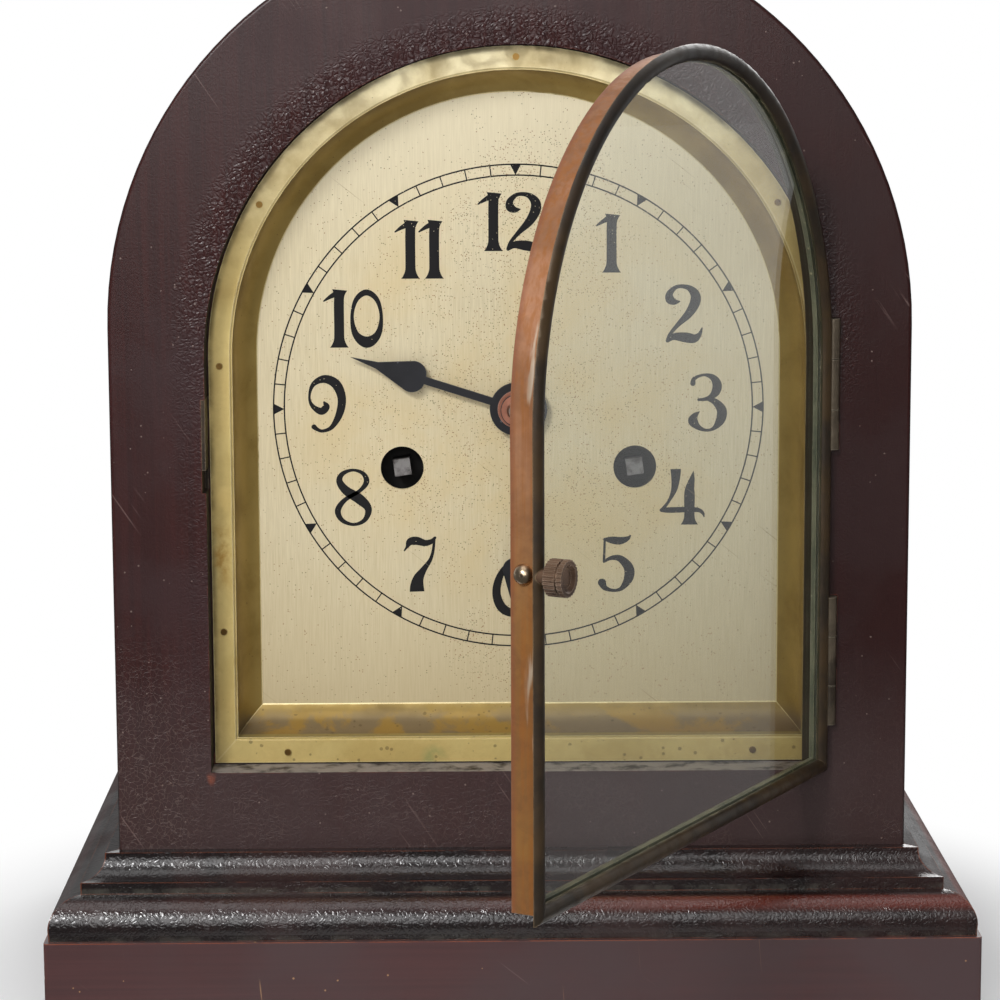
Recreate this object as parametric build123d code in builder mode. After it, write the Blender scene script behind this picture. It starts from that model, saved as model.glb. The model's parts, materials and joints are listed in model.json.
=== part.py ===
"""Round-topped shelf clock: wooden case, arched brass door, silvered dial, striking spring movement.

The origin is the middle of the base underside. X runs to the viewer's right, Y to the back, Z up.
The door stands open at door_angle. Places marked as dial places are measured from the dial centre.
"""
import math
import os

from build123d import *

os.makedirs("parts", exist_ok=True)

# Base
base_width = 240.6
base_depth = 160.0
plinth_height = 26.0
plinth_round = 0.8
moulding_height = 20.0
moulding_overhang = 17.9
moulding_setback = 1.2
moulding_quirk = 1.6
ovolo_top = 10.5
ovolo_depth = 7.6
ovolo_bulge = 2.9
bead_top = 13.6
cove_setback = 14.6
cove_top = 19.0
hollow_bulge = 1.6

# Case
front_thickness = 20.8
front_stile = 22.6
front_round = 1.0
case_rise = 156.0
shell_thickness = 8.0
back_thickness = 8.0
board_clearance = 0.1

# Dial and the arched opening in the front board, as dial places
dial_offset = 1.8
dial_rise = 132.7
dial_thickness = 1.0
dial_lap = 5.0
dial_foot_lap = 2.3
dial_hole = 4.0
winding_spacing = 60.0
winding_drop = 15.7
winding_hole = 5.65
opening_spring = 14.6
opening_drop = 92.5
ledge_width = 4.8

# Brass surround
sheet = 0.8
surround_margin = 0.4
flange_width = 5.4
cove_width = 6.5
cove_depth = 11.5
step_width = 0.65
step_depth = 0.6
cove_bulge = 2.04
cove_toe = 1.2
sill_drop = 78.7
sill_stretch = 1.12
pin_head = 0.9
pin_head_height = 0.5
pin_shank = 0.5
pin_length = 6.0
pin_inset = 2.8
leg_pin_rises = (12.6, -57.0)
arch_pin_angles = (31.0, 90.0, 149.0)
sill_pin_inset = 19.0

# Door
door_angle = 60.6
door_gap = 1.6
door_back = 14.6
band_depth = 6.4
bead_lap = 2.0
bead_width = 3.9
bead_height = 1.6
lip_width = 1.0
lip_thickness = 0.6
glass_thickness = 2.0
glass_clearance = 0.1
retainer_width = 1.2
retainer_depth = 1.2
knob_drop = 16.3
knob_radius = 4.1
knob_teeth = 26
knob_knurl = 0.35
knob_neck = 1.75
knob_head = 4.4
knob_grip = 2.7
knob_groove = 0.5
knob_rim = 1.05
knob_dish = 0.8
stem_radius = 1.7
stem_seat = 1.2
stud_radius = 2.4
stud_height = 2.0
stud_shank = 1.5
stud_seat = 0.8
strike_top = 4.9
strike_bottom = 19.1
strike_thickness = 1.0
strike_back = 11.0
strike_lip = 0.9
strike_slot = 6.0

# Butt hinges of the door
hinge_out = 0.5
hinge_proud = 1.3
hinge_length = 33.5
hinge_bottoms = (-8.4, -80.2)
leaf_thickness = 0.7
leaf_reach = 7.2
leaf_heights = (26.4, 33.5)
knuckle_radius = 1.75
knuckle_side = 10.2
knuckle_gap = 0.15
knuckle_room = 0.25
hinge_pin = 0.8
running_gap = 0.05

# Back door, as heights above the case foot
back_stile = 32.4
back_door_foot = 40.0
back_door_spring = 150.0
back_door_gap = 1.0
back_leaf_width = 14.0
back_leaf_thickness = 1.0
back_knuckle_lift = 0.15
back_hinge_rises = (12.0, 76.0)
button_length = 26.0
button_width = 9.0
button_thickness = 3.0
button_rise = 62.0
button_margin = 7.0
button_screw = 2.0
button_screw_height = 1.0

# Hands, with the leaves measured back from the tip
hand_thickness = 0.8
hand_stem = 1.0
leaf_bulge = 1.2
point_half = 0.9
point_length = 7.2
hour_angle = 287.8
hour_shortfall = 14.7
hour_hub = 6.95
hour_leaf = (20.3, 16.1, 4.0)
hour_collet_radius = 4.9
hour_collet_length = 1.6
hour_lift = 2.3
minute_angle = 180.0
minute_margin = 7.5
minute_hub = 4.2
minute_leaf = (21.0, 17.0, 3.6)
minute_lift = 5.3
nut_radius = 2.6
nut_height = 1.6
nut_taper = 20.0

# Movement plates
motion_space = 9.3
plate_thickness = 2.0
plate_gap = 32.0
plate_half = 57.0
plate_top = 50.0
plate_bottom = 48.0
plate_corner = 4.0
pillar_radius = 3.0
pillar_stud = 1.6
pillar_inset = 5.0
nut_flats = 7.0
nut_thickness = 2.5
bracket_width = 8.0
bracket_thickness = 2.0
bracket_start = 46.0
bracket_gap = 1.0
bracket_foot = 6.0

# Wheel work
wheel_thickness = 1.5
pinion_length = 2.5
arbor_radius = 1.0
pivot_radius = 0.7
shoulder_gap = 0.2
tip_share = 0.7
root_share = 1.4
great_module = 0.9
great_teeth = 56
great_layer = 3.0
great_thickness = 2.0
barrel_pinion_teeth = 8
second_module = 0.7
second_teeth = 54
centre_pinion_teeth = 9
second_layer = 25.0
centre_module = 0.6
centre_teeth = 64
third_pinion_teeth = 8
centre_layer = 28.0
third_angle = 127.1
third_module = 0.5
third_teeth = 54
escape_pinion_teeth = 8
third_layer = 15.0
escape_radius = 11.0
escape_teeth = 30
escape_depth = 2.2
escape_layer = 20.0
wheel_rim = 3.0
wheel_hub = 3.2
wheel_arm = 1.6
wheel_arms = 4

# Barrels and winding
drum_radius = 22.5
drum_length = 17.0
drum_wall = 1.2
winding_arbor_radius = 3.0
winding_pivot_radius = 2.6
winding_square = 4.4
winding_recess = 1.0
winding_turn = 8.0
ratchet_radius = 9.0
ratchet_teeth = 16
ratchet_depth = 1.6
ratchet_thickness = 1.8
ratchet_lift = 0.5
click_drop = 14.0
click_boss = 2.5
click_nose = 0.6
click_nose_place = (7.4, -7.0)
click_stud = 1.2
spring_turns = 4
spring_strip = 0.8
spring_room = 0.6

# Motion work behind the dial
cannon_teeth = 12
minute_wheel_teeth = 36
minute_pinion_teeth = 10
hour_wheel_teeth = 40
motion_module = 0.6
motion_lift = 1.5
motion_step = 1.5
minute_arbor_angle = 90.0
minute_stud = 1.2
centre_post = 1.2
cannon_pipe = 2.0
hour_pipe = 3.2

# Escapement and pendulum
pallet_clearance = 1.2
pallet_nose = 0.9
pallet_hub = 2.0
crutch_length = 42.0
crutch_width = 2.5
crutch_thickness = 1.5
crutch_lift = 2.5
fork_reach = 8.0
fork_prong = 1.2
fork_gap = 0.3
rod_radius = 1.0
rod_set_off = 7.75
pendulum_length = 118.0
bob_radius = 16.0
bob_thickness = 9.0
rating_nut_radius = 4.0
rating_nut_height = 3.7
rating_nut_teeth = 20
thread_tail = 8.0
spring_width = 4.5
spring_thickness = 0.3
spring_above = 2.5
spring_below = 7.0
block_height = 5.0
block_width = 4.0
cock_width = 8.0
cock_slot = 1.0
cock_lift = 3.5
cock_height = 6.5
cock_jaw = 3.0

# Strike work
pin_wheel_angle = 102.0
pin_module = 0.6
pin_teeth = 48
strike_pinion_teeth = 8
pin_count = 8
pin_circle = 11.5
pin_radius = 0.6
pin_reach = 3.0
pin_phase = 204.0
strike_third_angle = 54.5
strike_third_module = 0.5
strike_third_teeth = 40
strike_third_layer = 12.0
fly_pinion_teeth = 7
fly_angle = 47.0
fly_span = 13.0
fly_blade = 0.5
fly_length = 9.0
fly_layer = 18.0
hammer_place = (-52.0, 2.0)
tail_length = 9.0
tail_angle = 33.0
tail_nose = 0.6
tail_boss = 2.4
tail_layer = 27.0
tail_thickness = 2.0
hammer_arm = 64.0
hammer_arm_radius = 1.2
hammer_head_radius = 4.0
hammer_head_length = 7.0
hammer_depth = 22.0
gong_place = (-10.0, -62.0)
gong_turns = 4
gong_inner = 6.5
gong_pitch = 7.5
gong_boss = 4.0
gong_lug = 3.0
gong_wire = 2.4
gong_depth = 3.0
stand_post = 10.0
stand_foot_width = 34.0
stand_foot_depth = 26.0
stand_foot_height = 5.0
stand_gap = 2.0

# Places worked out from the sizes above
case_half = base_width / 2 - moulding_overhang
case_front_y = -base_depth / 2 + moulding_overhang
dial_y = case_front_y + front_thickness
back_y = base_depth / 2
case_spring = plinth_height + case_rise
shell_half = case_half - shell_thickness
back_door_half = shell_half - back_stile
dial_x = dial_offset
dial_z = plinth_height + dial_rise
recess_depth = front_thickness - cove_depth + sheet
opening_half = case_half - front_stile
inner_half = opening_half - ledge_width
dial_half = inner_half + dial_lap
dial_foot = opening_drop - ledge_width + dial_foot_lap
bracket_end = dial_half + bracket_gap + bracket_foot
surround_outer = opening_half - surround_margin
flange_inner = surround_outer - flange_width
cove_inner = flange_inner - cove_width
minute_length = cove_inner - minute_margin
hour_length = minute_length - hour_shortfall
plate_front_y = dial_y + dial_thickness + motion_space
inside_front_y = plate_front_y + plate_thickness
inside_back_y = inside_front_y + plate_gap
plate_back_y = inside_back_y + plate_thickness


def facing(y, x=0.0, z=0.0):
    """Plane seen from the front: local x to the right, local y up, normal towards the viewer."""
    return Plane(origin=(x, y, z), x_dir=(1, 0, 0), z_dir=(0, -1, 0))


def on_dial(y, place=(0.0, 0.0)):
    """Front-facing plane at depth y with its origin at a dial place."""
    return facing(y, dial_x + place[0], dial_z + place[1])


def arch_face(half, foot, spring):
    """Round-topped outline: straight legs up to the spring line and a half circle above."""
    with BuildSketch() as outline:
        with BuildLine():
            Polyline((half, spring), (half, foot), (-half, foot), (-half, spring))
            ThreePointArc((-half, spring), (0, spring + half), (half, spring))
        make_face()
    return outline.sketch


def arched_rail(face, section, spring, foot, mitre=None):
    """Rail along an arch: a leg and a quarter turn, cut to the mitre and mirrored to the other side."""
    spring_point = face.origin + Vector(0, 0, spring)
    across = Plane(origin=spring_point, x_dir=face.x_dir, z_dir=(0, 0, -1))
    with BuildPart() as rail:
        with BuildSketch(across):
            add(section)
        extrude(amount=spring - foot)
        if mitre is not None:
            split(bisect_by=mitre, keep=Keep.TOP)
        with BuildSketch(across):
            add(section)
        revolve(axis=Axis(spring_point, face.z_dir), revolution_arc=90)
        mirror(about=Plane(origin=face.origin, x_dir=face.z_dir, z_dir=face.x_dir))
    return rail.part


def level_rail(face, section, half, mitre):
    """Rail along the foot of an arch, cut to the mitre at both ends."""
    across = Plane(origin=face.origin, x_dir=(0, 0, -1), z_dir=-face.x_dir)
    with BuildPart() as rail:
        with BuildSketch(across):
            add(section)
        extrude(amount=-half)
        split(bisect_by=mitre, keep=Keep.BOTTOM)
        mirror(about=Plane(origin=face.origin, x_dir=face.z_dir, z_dir=face.x_dir))
    return rail.part


def mitre_plane(face, outer, inner):
    """Cutting plane through the outer and inner corner of an arch, with the leg on its upper side."""
    corner = face.origin + face.x_dir * outer[0] + Vector(0, 0, outer[1])
    normal = face.x_dir * (inner[1] - outer[1]) + Vector(0, 0, outer[0] - inner[0])
    return Plane(origin=corner, x_dir=face.z_dir, z_dir=normal)


def toothed_face(teeth, tip, root, phase):
    """Toothed outline with a tip at the phase angle, in degrees."""
    step = 360 / teeth
    points = []
    for tooth in range(teeth):
        for radius, turn in ((tip, 0.0), (root, 0.5)):
            angle = math.radians(phase + (tooth + turn) * step)
            points.append((radius * math.cos(angle), radius * math.sin(angle)))
    with BuildSketch() as outline:
        with BuildLine():
            Polyline(*points, close=True)
        make_face()
    return outline.sketch


def crossed_face(outline, root):
    """Wheel outline crossed out to four straight arms between its hub and its rim."""
    reach = (root - wheel_rim) * math.sqrt(0.5)
    with BuildSketch() as wheel:
        add(outline)
        with PolarLocations(0, wheel_arms):
            Polygon(
                (wheel_hub, wheel_hub - wheel_arm),
                (reach, reach - wheel_arm),
                (reach, wheel_arm - reach),
                (wheel_hub, wheel_arm - wheel_hub),
                align=None,
                mode=Mode.SUBTRACT,
            )
    return wheel.sketch


def wheel_face(teeth, module, phase, crossed=False):
    """Wheel or pinion of a tooth count and module, solid or crossed out."""
    radius = teeth * module / 2
    root = radius - root_share * module
    outline = toothed_face(teeth, radius + tip_share * module, root, phase)
    return crossed_face(outline, root) if crossed else outline


def train_arbor(place, gears, front=0.0, back=0.0):
    """Arbor pivoted in both plates, with its gears given as (face, layer, thickness)."""
    with BuildPart() as arbor:
        with BuildSketch(on_dial(plate_front_y - front, place)):
            Circle(pivot_radius)
        extrude(amount=-(plate_back_y - plate_front_y + front + back))
        with BuildSketch(on_dial(inside_front_y + shoulder_gap, place)):
            Circle(arbor_radius)
        extrude(amount=-(plate_gap - 2 * shoulder_gap))
        for face, layer, thickness in gears:
            with BuildSketch(on_dial(inside_front_y + layer, place)):
                add(face)
            extrude(amount=-thickness)
    return arbor.part


def mesh_distance(first_teeth, second_teeth, module):
    """Centre distance of two meshed gears."""
    return (first_teeth + second_teeth) * module / 2


def placed(origin, distance, angle):
    """Dial place at a distance and an angle from another."""
    turn = math.radians(angle)
    return (origin[0] + distance * math.cos(turn), origin[1] + distance * math.sin(turn))


def heading(start, end):
    """Angle in degrees of the line from one dial place to another."""
    return math.degrees(math.atan2(end[1] - start[1], end[0] - start[0]))


def apex(first, second, from_first, from_second):
    """Dial place at given distances from two others, on the right of the line between them."""
    span = math.dist(first, second)
    swing = math.degrees(math.acos((from_first**2 + span**2 - from_second**2) / (2 * from_first * span)))
    return placed(first, from_first, heading(first, second) - swing)


def gap_phase(teeth, angle):
    """Phase that turns a gap of a gear to an angle, where its partner has a tip."""
    return angle + 180 / teeth


def spiral_face(inner, outer, turns, strip):
    """Flat spiral strip made of half turns."""
    halves = 2 * turns
    growth = (outer - inner) / halves
    with BuildSketch() as coil:
        for half in range(halves):
            side = 1 if half % 2 == 0 else -1
            radius = inner + growth * half + growth / 2
            middle = side * growth / 2
            with BuildLine():
                for width in (radius - strip / 2, radius + strip / 2):
                    ThreePointArc((middle - width, 0), (middle, side * width), (middle + width, 0))
                Line((middle - radius - strip / 2, 0), (middle - radius + strip / 2, 0))
                Line((middle + radius - strip / 2, 0), (middle + radius + strip / 2, 0))
            make_face()
    return coil.sketch


def hinge_half(frame, start, low, leaf_height, knuckles, bore, reach, thickness):
    """Leaf of a butt hinge with its knuckles; the frame's z runs along the pin, its x into the leaf."""
    with BuildPart() as half:
        with BuildSketch(frame):
            with Locations(((start + reach) / 2, low + thickness / 2)):
                Rectangle(reach - start, thickness)
        extrude(amount=leaf_height)
        for bottom, top in knuckles:
            with BuildSketch(frame.offset(bottom)):
                Circle(knuckle_radius)
            extrude(amount=top - bottom)
            with BuildSketch(frame.offset(bottom)):
                with Locations(((start + knuckle_gap) / 2, low + thickness / 2)):
                    Rectangle(start + knuckle_gap, thickness)
            extrude(amount=min(top, leaf_height) - bottom)
        with BuildSketch(frame):
            Circle(bore)
        extrude(amount=hinge_length, mode=Mode.SUBTRACT)
    return half.part


# Base plinth: a veneered board with eased corners
with BuildPart() as base_plinth:
    Box(base_width, base_depth, plinth_height, align=(Align.CENTER, Align.CENTER, Align.MIN))
    fillet(base_plinth.edges().filter_by(Axis.Z), plinth_round)


def moulding_face():
    """Moulding section: quarter round, bead and hollow; x from the plinth face inwards, y up."""
    bead_setback = moulding_setback + ovolo_depth
    with BuildSketch() as section:
        with BuildLine():
            Polyline((moulding_overhang, 0), (moulding_setback, 0), (moulding_setback, moulding_quirk))
            SagittaArc((moulding_setback, moulding_quirk), (bead_setback, ovolo_top), ovolo_bulge)
            Line((bead_setback, ovolo_top), (bead_setback, bead_top))
            SagittaArc((bead_setback, bead_top), (cove_setback, cove_top), -hollow_bulge)
            Polyline(
                (cove_setback, cove_top),
                (cove_setback, moulding_height),
                (moulding_overhang, moulding_height),
                (moulding_overhang, 0),
            )
        make_face()
    return section.sketch


# Base mouldings, mitred at the two front corners
right_mitre = Plane(origin=(base_width / 2, -base_depth / 2, 0), x_dir=(0, 0, 1), z_dir=(1, 1, 0))
left_mitre = Plane(origin=(-base_width / 2, -base_depth / 2, 0), x_dir=(0, 0, 1), z_dir=(-1, 1, 0))
front_edge = Plane(origin=(0, -base_depth / 2, plinth_height), x_dir=(0, 1, 0), z_dir=(1, 0, 0))
right_edge = Plane(origin=(base_width / 2, 0, plinth_height), x_dir=(-1, 0, 0), z_dir=(0, 1, 0))

with BuildPart() as base_moulding_front:
    with BuildSketch(front_edge):
        add(moulding_face())
    extrude(amount=base_width / 2, both=True)
    split(bisect_by=right_mitre, keep=Keep.BOTTOM)
    split(bisect_by=left_mitre, keep=Keep.BOTTOM)

with BuildPart() as base_moulding_right:
    with BuildSketch(right_edge):
        add(moulding_face())
    extrude(amount=base_depth / 2, both=True)
    split(bisect_by=right_mitre, keep=Keep.TOP)

with BuildPart() as base_moulding_left:
    add(mirror(base_moulding_right.part, about=Plane.YZ, mode=Mode.PRIVATE))

# Hinge line of the door and its place inside the recess
hinge_x = dial_x + opening_half + hinge_out
hinge_y = case_front_y - hinge_proud
hinge_zones = (
    (0.0, knuckle_side),
    (knuckle_side + knuckle_gap, hinge_length - knuckle_side - knuckle_gap),
    (hinge_length - knuckle_side, hinge_length),
)
leaf_start = knuckle_radius + knuckle_room
knuckle_pocket = leaf_start - hinge_proud

# Front board with the arched recess, the ledge for the surround and the hinge and strike mortises
with BuildPart() as case_front:
    with BuildSketch(facing(case_front_y)):
        add(arch_face(case_half, plinth_height, case_spring))
    extrude(amount=-front_thickness)
    fillet(case_front.edges().group_by(Axis.Y)[0].sort_by(Axis.Z)[1:], front_round)
    with BuildSketch(on_dial(case_front_y)):
        add(arch_face(opening_half, -opening_drop, opening_spring))
    extrude(amount=-recess_depth, mode=Mode.SUBTRACT)
    with BuildSketch(on_dial(case_front_y)):
        add(arch_face(inner_half, ledge_width - opening_drop, opening_spring))
    extrude(amount=-front_thickness, mode=Mode.SUBTRACT)
    for bottom, leaf_height in zip(hinge_bottoms, leaf_heights):
        with BuildSketch(on_dial(case_front_y, (opening_half, bottom))):
            with Locations((leaf_thickness / 2, leaf_height / 2)):
                Rectangle(leaf_thickness, leaf_height)
        extrude(amount=-(leaf_reach - hinge_proud), mode=Mode.SUBTRACT)
        with BuildSketch(on_dial(case_front_y, (opening_half + hinge_out, bottom + hinge_length / 2))):
            Rectangle(2 * leaf_start, hinge_length + 2 * knuckle_gap)
        extrude(amount=-knuckle_pocket, mode=Mode.SUBTRACT)
    with BuildSketch(on_dial(case_front_y, (-opening_half, (strike_top - strike_bottom) / 2))):
        with Locations((-strike_thickness / 2, 0)):
            Rectangle(strike_thickness, strike_top + strike_bottom)
    extrude(amount=-(front_thickness - strike_back), mode=Mode.SUBTRACT)

# Bent shell behind the front board
with BuildPart() as case_shell:
    with BuildSketch(facing(dial_y)):
        add(arch_face(case_half, plinth_height, case_spring))
        add(arch_face(shell_half, plinth_height, case_spring), mode=Mode.SUBTRACT)
    extrude(amount=-(back_y - dial_y))

# Back board with its doorway
back_front_y = back_y - back_thickness
doorway_half = back_door_half + back_door_gap
with BuildPart() as back_board:
    with BuildSketch(facing(back_front_y)):
        add(arch_face(shell_half - board_clearance, plinth_height, case_spring))
        add(
            arch_face(doorway_half, plinth_height + back_door_foot - back_door_gap,
                      plinth_height + back_door_spring),
            mode=Mode.SUBTRACT,
        )
    extrude(amount=-back_thickness)

with BuildPart() as back_door:
    with BuildSketch(facing(back_front_y)):
        add(arch_face(back_door_half, plinth_height + back_door_foot, plinth_height + back_door_spring))
    extrude(amount=-back_thickness)

# Surface butt hinges of the back door
back_hinge_x = back_door_half + back_door_gap / 2
back_hinge_y = back_y + knuckle_radius + back_knuckle_lift
back_leaf_low = back_y - back_hinge_y
back_reach = leaf_start + back_leaf_width


def back_hinge_frame(rise, towards):
    """Frame at the foot of a back hinge pin, with x towards one leaf and y to the back."""
    origin = (back_hinge_x, back_hinge_y, plinth_height + back_door_foot + rise)
    return Plane(origin=origin, x_dir=(towards, 0, 0), z_dir=(0, 0, 1))


with BuildPart() as back_hinge_board_leaves:
    for rise in back_hinge_rises:
        frame = back_hinge_frame(rise, 1)
        add(hinge_half(frame, leaf_start, back_leaf_low, hinge_length, hinge_zones[::2], hinge_pin,
                       back_reach, back_leaf_thickness))
        with BuildSketch(frame):
            Circle(hinge_pin)
        extrude(amount=hinge_length)

with BuildPart() as back_hinge_door_leaves:
    for rise in back_hinge_rises:
        frame = back_hinge_frame(rise, -1)
        add(hinge_half(frame, leaf_start, -back_leaf_low - back_leaf_thickness, hinge_length,
                       hinge_zones[1:2], hinge_pin + running_gap, back_reach, back_leaf_thickness))

# Turn button that holds the back door, turned clear of it
button_x = -doorway_half - button_margin
button_z = plinth_height + back_door_foot + button_rise
with BuildPart() as turn_button:
    with BuildSketch(facing(back_y, button_x, button_z)):
        SlotOverall(button_length, button_width, rotation=90)
    extrude(amount=-button_thickness)
    with BuildSketch(facing(back_y + button_thickness, button_x, button_z)):
        Circle(button_screw)
    extrude(amount=-button_screw_height)

# Silvered dial plate with the centre hole and the two winding holes
winding_places = {
    "going": (winding_spacing / 2, -winding_drop),
    "strike": (-winding_spacing / 2, -winding_drop),
}
with BuildPart() as dial_plate:
    with BuildSketch(on_dial(dial_y)):
        add(arch_face(dial_half, -dial_foot, opening_spring))
        Circle(dial_hole, mode=Mode.SUBTRACT)
        with Locations(*winding_places.values()):
            Circle(winding_hole, mode=Mode.SUBTRACT)
    extrude(amount=-dial_thickness)


def surround_face(stretch):
    """Section of the pressed surround: flat flange, small step and deep hollow; x outwards, y forwards."""
    hollow = cove_inner + cove_width * stretch
    flange = cove_inner + (cove_width + flange_width) * stretch
    step_front = cove_depth - step_depth
    flange_back = cove_depth - sheet
    with BuildSketch() as section:
        with BuildLine():
            Line((cove_inner + cove_toe, 0), (cove_inner, 0))
            SagittaArc((cove_inner, 0), (hollow - step_width, step_front), -cove_bulge)
            Polyline(
                (hollow - step_width, step_front),
                (hollow, step_front),
                (hollow, cove_depth),
                (flange, cove_depth),
                (flange, flange_back),
                (hollow + sheet, flange_back),
            )
            SagittaArc((hollow + sheet, flange_back), (cove_inner + cove_toe, 0), cove_bulge)
        make_face()
    return section.sketch


# Brass surround: arch with legs, and the sill mitred to it
dial_face = on_dial(dial_y)
sill_outer = sill_drop + (cove_width + flange_width) * sill_stretch
surround_mitre = mitre_plane(dial_face, (surround_outer, -sill_outer), (cove_inner, -sill_drop))
sill_face = on_dial(dial_y, (0.0, cove_inner - sill_drop))

with BuildPart() as surround_arch:
    add(arched_rail(dial_face, surround_face(1.0), opening_spring, -sill_outer, surround_mitre))

with BuildPart() as surround_sill:
    add(level_rail(sill_face, surround_face(sill_stretch), surround_outer, surround_mitre))

# Nails through the flange into the ledge
pin_line = surround_outer - pin_inset
leg_pin_places = [(side * pin_line, rise) for side in (-1, 1) for rise in leg_pin_rises]
arch_pin_places = [placed((0.0, opening_spring), pin_line, angle) for angle in arch_pin_angles]
sill_pin_line = surround_outer - sill_pin_inset
sill_pin_places = [(side * sill_pin_line, pin_inset - sill_outer) for side in (-1, 1)]
with BuildPart() as surround_pins:
    with BuildSketch(on_dial(dial_y - cove_depth - pin_head_height)):
        with Locations(*leg_pin_places, *arch_pin_places, *sill_pin_places):
            Circle(pin_head)
    extrude(amount=-pin_head_height)
    with BuildSketch(on_dial(dial_y - cove_depth)):
        with Locations(*leg_pin_places, *arch_pin_places, *sill_pin_places):
            Circle(pin_shank)
    extrude(amount=-pin_length)

# Door plane: the dial plane turned about the hinge line to the open angle
open_turn = math.radians(door_angle)
door_across = Vector(math.cos(open_turn), math.sin(open_turn), 0)
door_forward = Vector(math.sin(open_turn), -math.cos(open_turn), 0)
door_origin = (
    Vector(hinge_x, hinge_y, dial_z)
    - door_across * (opening_half + hinge_out)
    - door_forward * (front_thickness + hinge_proud)
)
door_face = Plane(origin=door_origin, x_dir=door_across, z_dir=door_forward)
door_half = opening_half - door_gap
door_drop = opening_drop - door_gap
door_shift = door_drop - door_half
bead_base = door_back + band_depth
bead_front = bead_base + bead_height
bead_half = door_half + bead_lap
bead_drop = door_drop + bead_lap
bead_middle = bead_half - bead_width / 2
rebate_half = bead_half - bead_width + lip_width
glass_half = rebate_half - glass_clearance
glass_front = bead_base - lip_thickness
glass_back = glass_front - glass_thickness


def door_section():
    """Section of the door frame: edge band, bead that laps over it and a rebate for the glass."""
    inner = bead_half - bead_width
    with BuildSketch() as section:
        with BuildLine():
            Polyline(
                (rebate_half, door_back),
                (door_half, door_back),
                (door_half, bead_base),
                (bead_half, bead_base),
            )
            ThreePointArc((bead_half, bead_base), (bead_middle, bead_front), (inner, bead_base))
            Polyline(
                (inner, bead_base),
                (inner, glass_front),
                (rebate_half, glass_front),
                (rebate_half, door_back),
            )
        make_face()
    return section.sketch


# Door frame, bent over the arch and mitred to its bottom rail, with seats for the knuckles, knob and stud
door_foot = door_face.origin - Vector(0, 0, door_shift)
door_foot_face = Plane(origin=door_foot, x_dir=door_across, z_dir=door_forward)
door_mitre = mitre_plane(door_face, (bead_half, -bead_drop), (bead_half - bead_width, bead_width - bead_drop))
knob_place = (-bead_middle, -knob_drop)
stud_depth = door_back + band_depth / 2
stud_frame = Plane(
    origin=door_face.from_local_coords((-door_half, -knob_drop, stud_depth)),
    x_dir=door_forward,
    z_dir=-door_across,
)
door_leaf_low = opening_half + hinge_out - door_half - leaf_thickness


def door_hinge_frame(bottom):
    """Frame at the foot of a hinge pin that turns with the door; x runs towards the back of the door."""
    origin = Vector(hinge_x, hinge_y, dial_z + bottom)
    return Plane(origin=origin, x_dir=-door_forward, z_dir=(0, 0, 1))


with BuildPart() as door_frame:
    add(arched_rail(door_face, door_section(), opening_spring, -bead_drop, door_mitre))
    add(level_rail(door_foot_face, door_section(), bead_half, door_mitre))
    with BuildSketch(door_face.offset(bead_front - stem_seat)):
        with Locations(knob_place):
            Circle(stem_radius)
    extrude(amount=stem_seat, mode=Mode.SUBTRACT)
    with BuildSketch(stud_frame):
        Circle(stud_shank)
    extrude(amount=-stud_seat, mode=Mode.SUBTRACT)
    for bottom in hinge_bottoms:
        with BuildSketch(door_face.offset(bead_base)):
            with Locations((door_half + bead_lap / 2, bottom + hinge_length / 2)):
                Rectangle(bead_lap, hinge_length + 2 * knuckle_gap)
        extrude(amount=bead_height, mode=Mode.SUBTRACT)

with BuildPart() as door_glass:
    with BuildSketch(door_face.offset(glass_back)):
        add(arch_face(glass_half, -glass_half - door_shift, opening_spring))
    extrude(amount=glass_thickness)

with BuildPart() as glass_retainer:
    with BuildSketch(door_face.offset(glass_back - retainer_depth)):
        add(arch_face(glass_half, -glass_half - door_shift, opening_spring))
        add(
            arch_face(glass_half - retainer_width, retainer_width - glass_half - door_shift, opening_spring),
            mode=Mode.SUBTRACT,
        )
    extrude(amount=retainer_depth)

# Knurled knob with a dished end, on a stem let into the bead
knob_start = bead_front + knob_neck
with BuildPart() as door_knob:
    with BuildSketch(door_face.offset(bead_front - stem_seat)):
        with Locations(knob_place):
            Circle(stem_radius)
    extrude(amount=stem_seat + knob_neck)
    for start, end in ((0.0, knob_grip), (knob_grip + knob_groove, knob_head)):
        with BuildSketch(door_face.offset(knob_start + start)):
            with Locations(knob_place):
                add(toothed_face(knob_teeth, knob_radius, knob_radius - knob_knurl, 0.0))
        extrude(amount=end - start)
    with BuildSketch(door_face.offset(knob_start)):
        with Locations(knob_place):
            Circle(knob_radius - 2 * knob_knurl)
    extrude(amount=knob_head)
    with BuildSketch(door_face.offset(knob_start + knob_head)):
        with Locations(knob_place):
            Circle(knob_radius - knob_rim)
    extrude(amount=-knob_dish, taper=45, mode=Mode.SUBTRACT)


def dome_middle(radius, height):
    """Middle point of the arc from the rim of a dome to its top."""
    ball = (radius**2 + height**2) / (2 * height)
    turn = math.asin(radius / ball) / 2
    return (ball * math.sin(turn), ball * math.cos(turn) - ball + height)


# Domed catch stud on the free edge
with BuildPart() as catch_stud:
    with BuildSketch(stud_frame):
        Circle(stud_shank)
    extrude(amount=-stud_seat)
    with BuildSketch(Plane(origin=stud_frame.origin, x_dir=(0, 0, 1), z_dir=door_forward)):
        with BuildLine():
            Polyline((0, stud_height), (0, 0), (stud_radius, 0))
            ThreePointArc((stud_radius, 0), dome_middle(stud_radius, stud_height), (0, stud_height))
        make_face()
    revolve(axis=Axis(stud_frame.origin, stud_frame.z_dir))

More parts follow.
